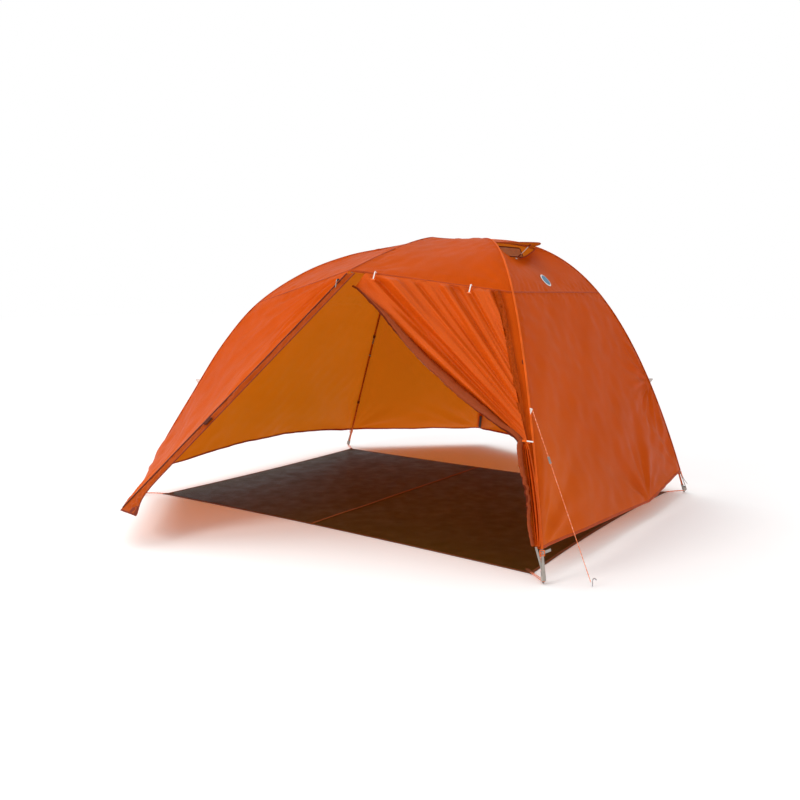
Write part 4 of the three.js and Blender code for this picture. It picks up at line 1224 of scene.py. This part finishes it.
def make_frame():
    rise = shares(400)
    for name, leg in LEGS.items():
        line = leg.at(rise)
        far = length_of(line)
        lower = part_of(line, (TIP_LENGTH + 0.0004) / far, JOIN_AT - 0.0005 / far)
        upper = part_of(line, JOIN_AT + 0.0005 / far, 1 - (HUB_REACH + 0.0004) / far)
        make_pole(f"{name}_pole_lower", lower, f"{name}_leg_lower", sleeve="end")
        make_pole(f"{name}_pole_upper", upper, f"{name}_leg_upper")
        direction = lower[0] - line[0]
        tip = lathe_along(Bundle(), line[0], direction, [
            (0.0016, 0.0006), (0.0022, 0.0030), (0.0034, 0.0046), (0.0055, 0.0050), (0.0075, 0.0042),
            (0.0095, 0.0034), (0.0150, 0.0034), (0.0165, 0.0050), (0.0180, 0.0064), (0.0200, 0.0066),
            (0.0300, 0.0062), (0.0420, 0.0062), (0.0440, 0.0068), (0.0458, 0.0066), (0.0460, 0.0050)])
        tip.done(f"{name}_tip", "grey", "plastic_grey", replaces=[f"{name}_pole_tip"])
    middle = (BROW_X, 0, RIDGE_TOP)
    half_way = [tuple((np.array(hub) + np.array(middle)) / 2) for hub in (HUB_LEFT, HUB_RIGHT)]
    ridge = through([HUB_LEFT, half_way[0], middle, half_way[1], HUB_RIGHT], rise)
    ends = (HUB_REACH + 0.0004) / length_of(ridge)
    make_pole("ridge_pole_tube", part_of(ridge, ends, 1 - ends), "ridge_pole")
    y = np.linspace(-BROW_END_Y, BROW_END_Y, 120)
    brow = np.stack([np.full_like(y, BROW_X), y, brow_height(y)], 1)
    make_pole("brow_pole_tube", brow, "brow_pole", BROW_R)
    for side, end in ((-1, brow[0]), (1, brow[-1])):
        cap = lathe_along(Bundle(), end - P(0, side * 0.020, -0.006), P(0, side * 1.0, -0.30), [
            (0.0, 0.0052), (0.002, 0.0056), (0.020, 0.0054), (0.023, 0.0050), (0.0252, 0.0036),
            (0.0260, 0.0010)])
        cap.done(f"brow_cap_{'front' if side < 0 else 'rear'}", "grey", "plastic_grey")
    make_hub("right_hub", np.array(HUB_RIGHT), (FR, RR), P(-1, 0, 0))
    make_hub("left_hub", np.array(HUB_LEFT), (FL, RL), P(1, 0, 0))
    make_swivel()


def make_hub(name, centre, legs, ridge_way):
    """A moulded hub: three ribbed sockets that run into a round boss."""
    hub = Bundle()
    ways = [unit(leg.at(0.965) - centre) for leg in legs] + [ridge_way]
    centre = centre - P(0, 0, 0.001)
    for way in ways:
        lathe_along(hub, centre, way, [
            (0.0, 0.0058), (0.012, 0.0060), (0.013, 0.0066), (0.0155, 0.0066), (0.0165, 0.0058),
            (0.020, 0.0058), (0.021, 0.0066), (0.0262, 0.0066), (0.0268, 0.0058)])
    lathe_along(hub, centre - P(0, 0, 0.0065), UP, [
        (0.0, 0.0060), (0.001, 0.0095), (0.0025, 0.0105), (0.0100, 0.0105), (0.0115, 0.0095),
        (0.0125, 0.0060)])
    hub.done(f"{name}_moulding", "hub", "hub_grey", replaces=[name])


def make_swivel():
    """The brow pole's swivel: two clip saddles back to back on a short pin."""
    low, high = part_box("brow_swivel")
    centre = np.array((low + high) / 2)
    swivel = Bundle()
    lathe_along(swivel, centre - P(0.0078, 0, 0), P(1, 0, 0), [
        (0.0, 0.0030), (0.0012, 0.0046), (0.0144, 0.0046), (0.0156, 0.0030)])
    lathe_along(swivel, centre - P(0, 0.0068, -0.001), P(0, 1, 0), [
        (0.0, 0.0028), (0.0012, 0.0038), (0.0124, 0.0038), (0.0136, 0.0028)])
    swivel.done("brow_swivel_clip", "hub", "hub_grey", replaces=["brow_swivel"])


make_frame()

# ---- vent: hood, netting and strut
VENT_EDGE = (0.562, 1.272, FR.seam(FR.vent)[1] * -1)     # x, z and half width of the line the hood hinges on
HINGE = P(VENT_EDGE[0] + 0.001, 0, VENT_EDGE[1] + 0.001)
HOOD_HALF, HOOD_REACH, HOOD_RISE = VENT_EDGE[2] - 0.012, 0.118, math.radians(2)


def make_vent():
    forward = P(math.cos(HOOD_RISE), 0, math.sin(HOOD_RISE))
    over = P(-math.sin(HOOD_RISE), 0, math.cos(HOOD_RISE))
    u, v = np.meshgrid(np.linspace(-1, 1, 61), shares(25))
    outline = HOOD_REACH * (1 - np.abs(u) ** 1.5) ** 0.843
    lift = 0.0040 * arch(v) * (1 - u ** 2)
    grid = (HINGE + forward * (outline * v)[..., None] + P(0, 1, 0) * (u * HOOD_HALF)[..., None])
    lift = lift + 0.0010 * ripple(grid, 0.06, 101) * np.sin(np.pi * np.clip(v, 0, 1))
    grid = grid + over * (lift - 0.0012)[..., None]
    hood = cloth("vent_hood_cloth", grid, "flap", "vent_hood", ["vent_hood"], weld=1e-5)
    rim = Bundle()
    rim.sweep(evenly(grid[-1], 0.004), ring(0.0017, 10), up=over)
    rim.sweep(evenly(grid[1], 0.01), tape_profile(0.010, 0.0016), up=over)
    rim.done("vent_hood_rim", "felled", "fly_trim", "vent_hood")
    make_netting()
    make_strut()


def make_netting():
    low, high = P(0.545, 0.118, 1.216), P(0.512, 0.142, 1.262)
    u, v = np.meshgrid(np.linspace(-1, 1, 60), shares(12))
    grid = mix(low, high, v) * np.stack([np.ones_like(u), u, np.ones_like(u)], -1)
    inward = arch(v) * (1 - u ** 2) * 0.004
    grid = grid - P(0.8, 0, 0.6) * inward[..., None]
    net = cloth("vent_netting", grid, "mesh", replaces=["vent_mesh"])
    edge = Bundle()
    outline = np.concatenate([grid[0], grid[1:, -1], grid[-1, ::-1][1:], grid[::-1, 0][1:]])
    edge.sweep(evenly(outline, 0.006), tape_profile(0.007, 0.0014), up=P(0.8, 0, 0.6))
    edge.done("vent_netting_binding", "dark", "fly_trim")


def make_strut():
    """A flat stay in a sewn sleeve. It props the hood open."""
    foot, head = P(0.574, 0, 1.210), P(0.642, 0, 1.2705)
    line = mix(foot, head, np.linspace(0.01, 0.99, 30))
    square = unit(np.cross(P(0, 1, 0), head - foot))
    stay = Bundle().sweep(line, tape_profile(0.0080, 0.0018, 0.2), up=square)
    stay.done("vent_stay", "white_tape", "toggle_white", "vent_strut", ["vent_strut"])
    pocket = Bundle().sweep(line[:9], tape_profile(0.0105, 0.0030, 0.2), up=square)
    pocket.sweep(line[-6:], tape_profile(0.0105, 0.0030, 0.2), up=square)
    pocket.done("vent_stay_pocket", "trim", "fly_trim", "vent_strut")
    tab = Bundle()
    lip = RIGHT_TOP[-1, len(SPAN) // 2]
    run = lip + P(0.004, 0, 0) + P(0.35, 0, -0.94) * column(-0.004, 0.014, 12)
    tab.sweep(run, tape_profile(0.016, 0.0020), up=P(0.94, 0, 0.35))
    tab.done("vent_hook_tab", "white_tape", "fly_trim")


# ---- sliders, toggles and the door's tie


def rounded_bar(bundle, middle, along, radius, half, up):
    """A bar with domed ends and a slight waist."""
    far = np.linspace(-1, 1, 25)
    size = radius * np.sqrt(np.clip(1 - np.clip((np.abs(far) - 0.82) / 0.18, 0, 1) ** 2, 0.02, 1))
    size = size * (1 - 0.14 * np.cos(np.pi * far / 2) ** 2)
    return bundle.sweep(middle + unit(along) * (far * half)[:, None], ring(1.0, 16), up=up, widen=size)


def make_slider(end, centre, up, out):
    """A zip slider: two flared plates on a post, a bridge, and a cord pull with a moulded end."""
    across = unit(np.cross(up, out))
    body = Bundle()
    far = np.linspace(-0.007, 0.007, 15)
    flare = 0.78 + 0.22 * ease((far + 0.007) / 0.009)
    for layer, thick in ((0.0014, 0.0012), (-0.0014, 0.0012)):
        line = centre + up * far[:, None] + out * layer
        body.sweep(line, tape_profile(0.0072, thick, 0.2), up=out, widen=flare)
    body.sweep(centre + out * column(-0.0015, 0.0015, 4), tape_profile(0.0030, 0.0040), up=up)
    arch = column(0, np.pi, 15)
    bridge = centre + out * (0.0018 + 0.0020 * np.sin(arch)) - up * (0.0045 * np.cos(arch))
    body.sweep(bridge, tape_profile(0.0028, 0.0010), up=across)
    body.done(f"{end}_slider_body", "dark_plastic", "plastic_grey", f"{end}_zip_slider",
          [f"{end}_zip_slider"])
    turn = np.linspace(0, 2 * np.pi, 40)
    hang = unit(P(0, 0, -1.0) + 0.25 * out)
    start = centre + out * 0.0066
    loop = (start + hang * (0.011 - 0.011 * np.cos(turn))[:, None] + across * (0.0022 * np.sin(turn))[:, None]
            + out * (0.0015 * np.sin(turn / 2))[:, None])
    pull = Bundle().sweep(loop, ring(0.0009, 8), up=out)
    pull.done(f"{end}_pull_cord", "grey_cord", "plastic_grey", f"{end}_zip_slider")
    grip = rounded_bar(Bundle(), start + hang * 0.029, hang, 0.0028, 0.009, out)
    grip.done(f"{end}_pull_grip", "grey", "plastic_grey", f"{end}_zip_slider")


def make_toggles():
    """Two tapes with cross bars hang from the front roof seam. They hold the door when it is rolled up."""
    seam_along = roof_seam(FR)(np.array([0.0]))[0] - roof_seam(FR)(np.array([1.0]))[0]
    seam_along = square(seam_along, DOOR_OUT)
    up = unit(np.cross(DOOR_OUT, seam_along))
    if up[2] < 0:
        up = -up
    for name, place in (("left", 0.17), ("right", 0.76)):
        top = mix(BROW_END[-1], FR.rising(1.0), place) + DOOR_OUT * 0.0212
        line = top - up * column(0.0006, 0.0345, 24)
        tape = Bundle().sweep(line, tape_profile(0.0052, 0.0012, 0.1), up=DOOR_OUT)
        tape.done(f"door_toggle_{name}_tape", "white_tape", "toggle_white", f"door_toggle_{name}",
              [f"door_toggle_{name}"])
        bar = rounded_bar(Bundle(), top - up * 0.0362, seam_along, 0.0027, 0.0098, DOOR_OUT)
        bar.done(f"door_toggle_{name}_bar", "orange", "plastic_orange", f"door_toggle_{name}")
        patch = Bundle()
        back = mix(BROW_END[-1], FR.rising(1.0), place) + DOOR_OUT * column(0.003, 0.0194, 10)
        patch.sweep(back + up * 0.0022, tape_profile(0.0056, 0.0014), up=up)
        patch.done(f"door_toggle_{name}_root", "white_tape", "toggle_white")


def make_tie():
    """The tie: a loop of flat elastic round the gathered door, closed over a bar."""
    turn = column(0, 2 * np.pi, 60)
    heart = TIE + DOOR_OUT * 0.0005
    loop = heart + FLAP_ACROSS * 0.0205 * np.cos(turn) + DOOR_OUT * 0.0195 * np.sin(turn)
    down = unit(np.cross(FLAP_ACROSS, DOOR_OUT))
    away = unit(loop - heart)
    band_round = Bundle().sweep(loop, tape_profile(0.0080, 0.0016), up=away)
    band_round.done("tie_band", "seam", "fly_trim")
    place = TIE + DOOR_OUT * 0.022 + FLAP_ACROSS * 0.026
    bar = rounded_bar(Bundle(), place, FLAP_ACROSS, 0.0030, 0.0150, down)
    bar.done("tie_bar", "white", "toggle_white", "tie_back_toggle", ["tie_back_toggle"])


# ---- corners: webbing, locks, loops and guy tabs


def make_corner(name, leg):
    foot = leg.foot
    corner, tip, out = leg.rising(0.0), P(leg.points[0][0], leg.points[0][1], 0), leg.outward(foot)
    along = unit(tip - corner)
    across = unit(np.cross(along, out))
    face = unit(np.cross(across, along))
    outer = face if face @ out > 0 else -face
    make_lock(name, corner + along * 0.013, along, across, outer)
    start, end = corner + along * 0.0262 + outer * 0.001, P(tip[0], tip[1], 0.014) + outer * 0.011
    strap = Bundle()
    main = mix(start, end, np.linspace(-0.42, 1.0, 40))
    strap.sweep(main, tape_profile(0.0115, 0.0014), up=outer)
    tail = mix(start, end, np.linspace(-0.05, 0.62, 24)) + outer * 0.0022
    curl = shares(24)[:, None]
    tail = tail + outer * (0.010 * curl ** 2) + across * (0.006 * curl)
    strap.sweep(tail, tape_profile(0.0105, 0.0013), up=outer)
    wrap = column(-0.5 * np.pi, 1.5 * np.pi, 40)
    level = tip + P(0, 0, 0.021)
    boot = level + outer * 0.0085 * np.sin(wrap) + across * 0.0085 * np.cos(wrap)
    strap.sweep(boot, tape_profile(0.0200, 0.0014), up=unit(boot - level))
    if name == "front_right":
        hem_end = side_zip(0.0) + P(-0.006, -0.006, 0.006)
        arm = mix(hem_end, end, shares(36)) + outer * 0.0035
        strap.sweep(arm, tape_profile(0.0090, 0.0013), up=outer)
        stub_end = right_hem(np.array([0.034]))[0] + P(0.004, 0, -0.012)
        stub = mix(start - along * 0.013, stub_end, shares(20)) + outer * 0.004
        strap.sweep(stub, tape_profile(0.0105, 0.0014), up=outer)
    strap.done(f"{name}_webbing", "strap", "webbing_grey", replaces=[f"{name}_corner_strap"])
    make_loop(name, tip)
    make_guy_tab(name, leg)
    make_clips(name, leg)


def make_lock(name, place, along, across, outer):
    """A ladder lock: a frame with two windows, a bowed middle bar with grip teeth, and a thumb lip."""
    lock = Bundle()
    for side in (-1, 1):
        rail = place + across * side * 0.0096 + along * column(-0.0088, 0.0088, 14)
        lock.sweep(rail, tape_profile(0.0028, 0.0030, 0.2), up=outer)
    for at, thick in ((-0.0082, 0.0034), (0.0, 0.0038), (0.0082, 0.0034)):
        bow = np.linspace(-1, 1, 20)
        bar = (place + along * at + across * (bow * 0.0105)[:, None]
               + outer * (0.0010 * (1 - bow ** 2))[:, None])
        lock.sweep(bar, tape_profile(thick, 0.0030, 0.2), up=outer)
    for tooth in np.linspace(-0.007, 0.007, 6):
        lock.sweep(place + across * tooth + outer * 0.0024 + along * column(-0.0015, 0.0015, 4),
                   tape_profile(0.0012, 0.0010), up=outer)
    lip = np.linspace(-1, 1, 14)
    lock.sweep(place + along * 0.0112 + outer * 0.0024 + across * (lip * 0.0080)[:, None],
               tape_profile(0.0034, 0.0020, 0.2), up=outer)
    lock.done(f"{name}_lock_frame", "orange", "plastic_orange", replaces=[f"{name}_ladder_lock"])
    turn = column(0, 2 * np.pi, 36)
    hang = unit(along - 0.2 * outer)
    loop = place + along * 0.010 + across * 0.004 + hang * (0.009 - 0.009 * np.cos(turn))
    loop = loop + across * 0.0045 * np.sin(turn)
    pull = Bundle().sweep(loop + outer * 0.004, ring(0.0012, 8), up=outer)
    pull.done(f"{name}_lock_loop", "cord", "cord_orange")


def make_loop(name, tip):
    """The elastic loop sewn to the ground sheet's corner. It goes round the pole tip's neck and back."""
    corner = P(math.copysign(GROUND[0], tip[0]), math.copysign(GROUND[1], tip[1]), 0)
    away = unit(tip - corner)
    side = unit(np.cross(UP, away))
    far = float(np.linalg.norm(tip - corner))
    arc = np.linspace(-np.pi / 2, np.pi / 2, 16)
    neck, mouth = 0.0052, 0.0030      # half widths of the loop at the pole tip and at the sheet
    sewn, count = -0.010, 24
    reach = [np.linspace(sewn, far, count), far + neck * np.cos(arc), np.linspace(far, sewn, count)]
    wide = [np.linspace(-mouth, -neck, count), neck * np.sin(arc), np.linspace(neck, mouth, count)]
    reach, wide = np.concatenate(reach), np.concatenate(wide)
    height = lerp(0.0042, 0.0105, np.clip(reach / far, 0, 1) ** 0.7)
    line = corner + away * reach[:, None] + side * wide[:, None] + UP * height[:, None]
    loop = Bundle().sweep(evenly(line, 0.0025), ring(0.0016, 10), up=UP)
    loop.done(f"{name}_loop_cord", "cord", "cord_orange", replaces=[f"{name}_sheet_loop"])
    patch = Bundle()
    run = corner + away * column(-0.050, 0.004, 12) + P(0, 0, 0.0040)
    patch.sweep(run, tape_profile(0.018, 0.0020), up=UP)
    patch.done(f"{name}_loop_anchor", "ground_trim", "ground_nylon")


def make_guy_tab(name, leg):
    """A folded triangle of webbing on the leg's seam, with a stitched throat for the cord."""
    t = leg.level(GUY_Z)
    out, along = leg.outward(t), leg.along(t)
    base = leg.seam(t) + out * 0.0022
    reach = np.linspace(0, GUY_TAB_REACH, 16)
    tab = Bundle().sweep(base + out * reach[:, None], tape_profile(1.0, 0.07, 0.1),
                         up=np.cross(out, along), widen=lerp(0.026, 0.006, reach / GUY_TAB_REACH))
    fold = base + out * column(0.0150, 0.0182, 5)
    tab.sweep(fold, tape_profile(0.0070, 0.0026, 0.2), up=np.cross(out, along))
    tab.done(f"{name}_tab", "tab", "webbing_grey", replaces=[f"{name}_guy_tab"])


def make_clips(name, leg):
    """Inside the fly, two hook-tape wraps and a small hook hold the seam to the pole."""
    wrap, hook = Bundle(), Bundle()
    for height in (0.33, 0.78):
        t = leg.level(height)
        centre, out = leg.at(t), leg.outward(t)
        along = leg.along(t)
        across = unit(np.cross(along, out))
        turn = column(0, 2 * np.pi, 32)
        line = centre + out * (0.0022 + 0.0080 * np.sin(turn)) + across * 0.0066 * np.cos(turn)
        wrap.sweep(line, tape_profile(0.020, 0.0014), up=unit(line - centre - out * 0.0022))
    wrap.done(f"{name}_pole_wraps", "dark", "fly_trim")
    t = leg.level(0.66)
    centre, out = leg.at(t), leg.outward(t)
    along = leg.along(t)
    across = unit(np.cross(along, out))
    turn = column(-0.15 * np.pi, 1.35 * np.pi, 26)
    claw = centre + across * 0.0062 * np.cos(turn) - out * 0.0062 * np.sin(turn)
    hook.sweep(claw, tape_profile(0.009, 0.0016, 0.2), up=unit(claw - centre))
    stem = centre - out * column(0.0066, 0.020, 8)
    hook.sweep(stem, tape_profile(0.0060, 0.0024, 0.2), up=along)
    hook.done(f"{name}_pole_clip", "grey", "plastic_grey")


def make_badge():
    """A plain oval patch sewn above the end's roof seam, a pale border round a blue-grey field."""
    row, column = BADGE
    centre = RIGHT_TOP[row, column]
    normal = normals_of(RIGHT_TOP)[row, column]
    across = unit(RIGHT_TOP[row, column + 4] - RIGHT_TOP[row, column - 4])
    up = unit(np.cross(normal, across))
    a, r = np.meshgrid(np.linspace(0, 2 * np.pi, 49), np.linspace(0.02, 1, 9))
    layers = (("badge_border", 1.0, 0.0022, "white"), ("badge_field", 0.80, 0.0036, "badge"))
    for name, scale, lift, material in layers:
        flat = np.stack([np.cos(a) * r * 0.036, np.sin(a) * r * 0.034], -1) * scale
        crown = (lift + 0.0012 * (1 - r ** 4))[..., None]
        points = centre + across * flat[..., :1] + up * flat[..., 1:] + normal * crown
        solid_sheet(name, points, flat, material, 0.0012)


make_vent()
for zip_end in ("front", "rear"):
    make_slider(zip_end, P(*SLIDER_AT[zip_end]), P(*ZIP_UP[zip_end]), P(*ZIP_OUT[zip_end]))
make_toggles()
make_tie()
for corner_name, corner_leg in LEGS.items():
    make_corner(corner_name, corner_leg)
make_badge()
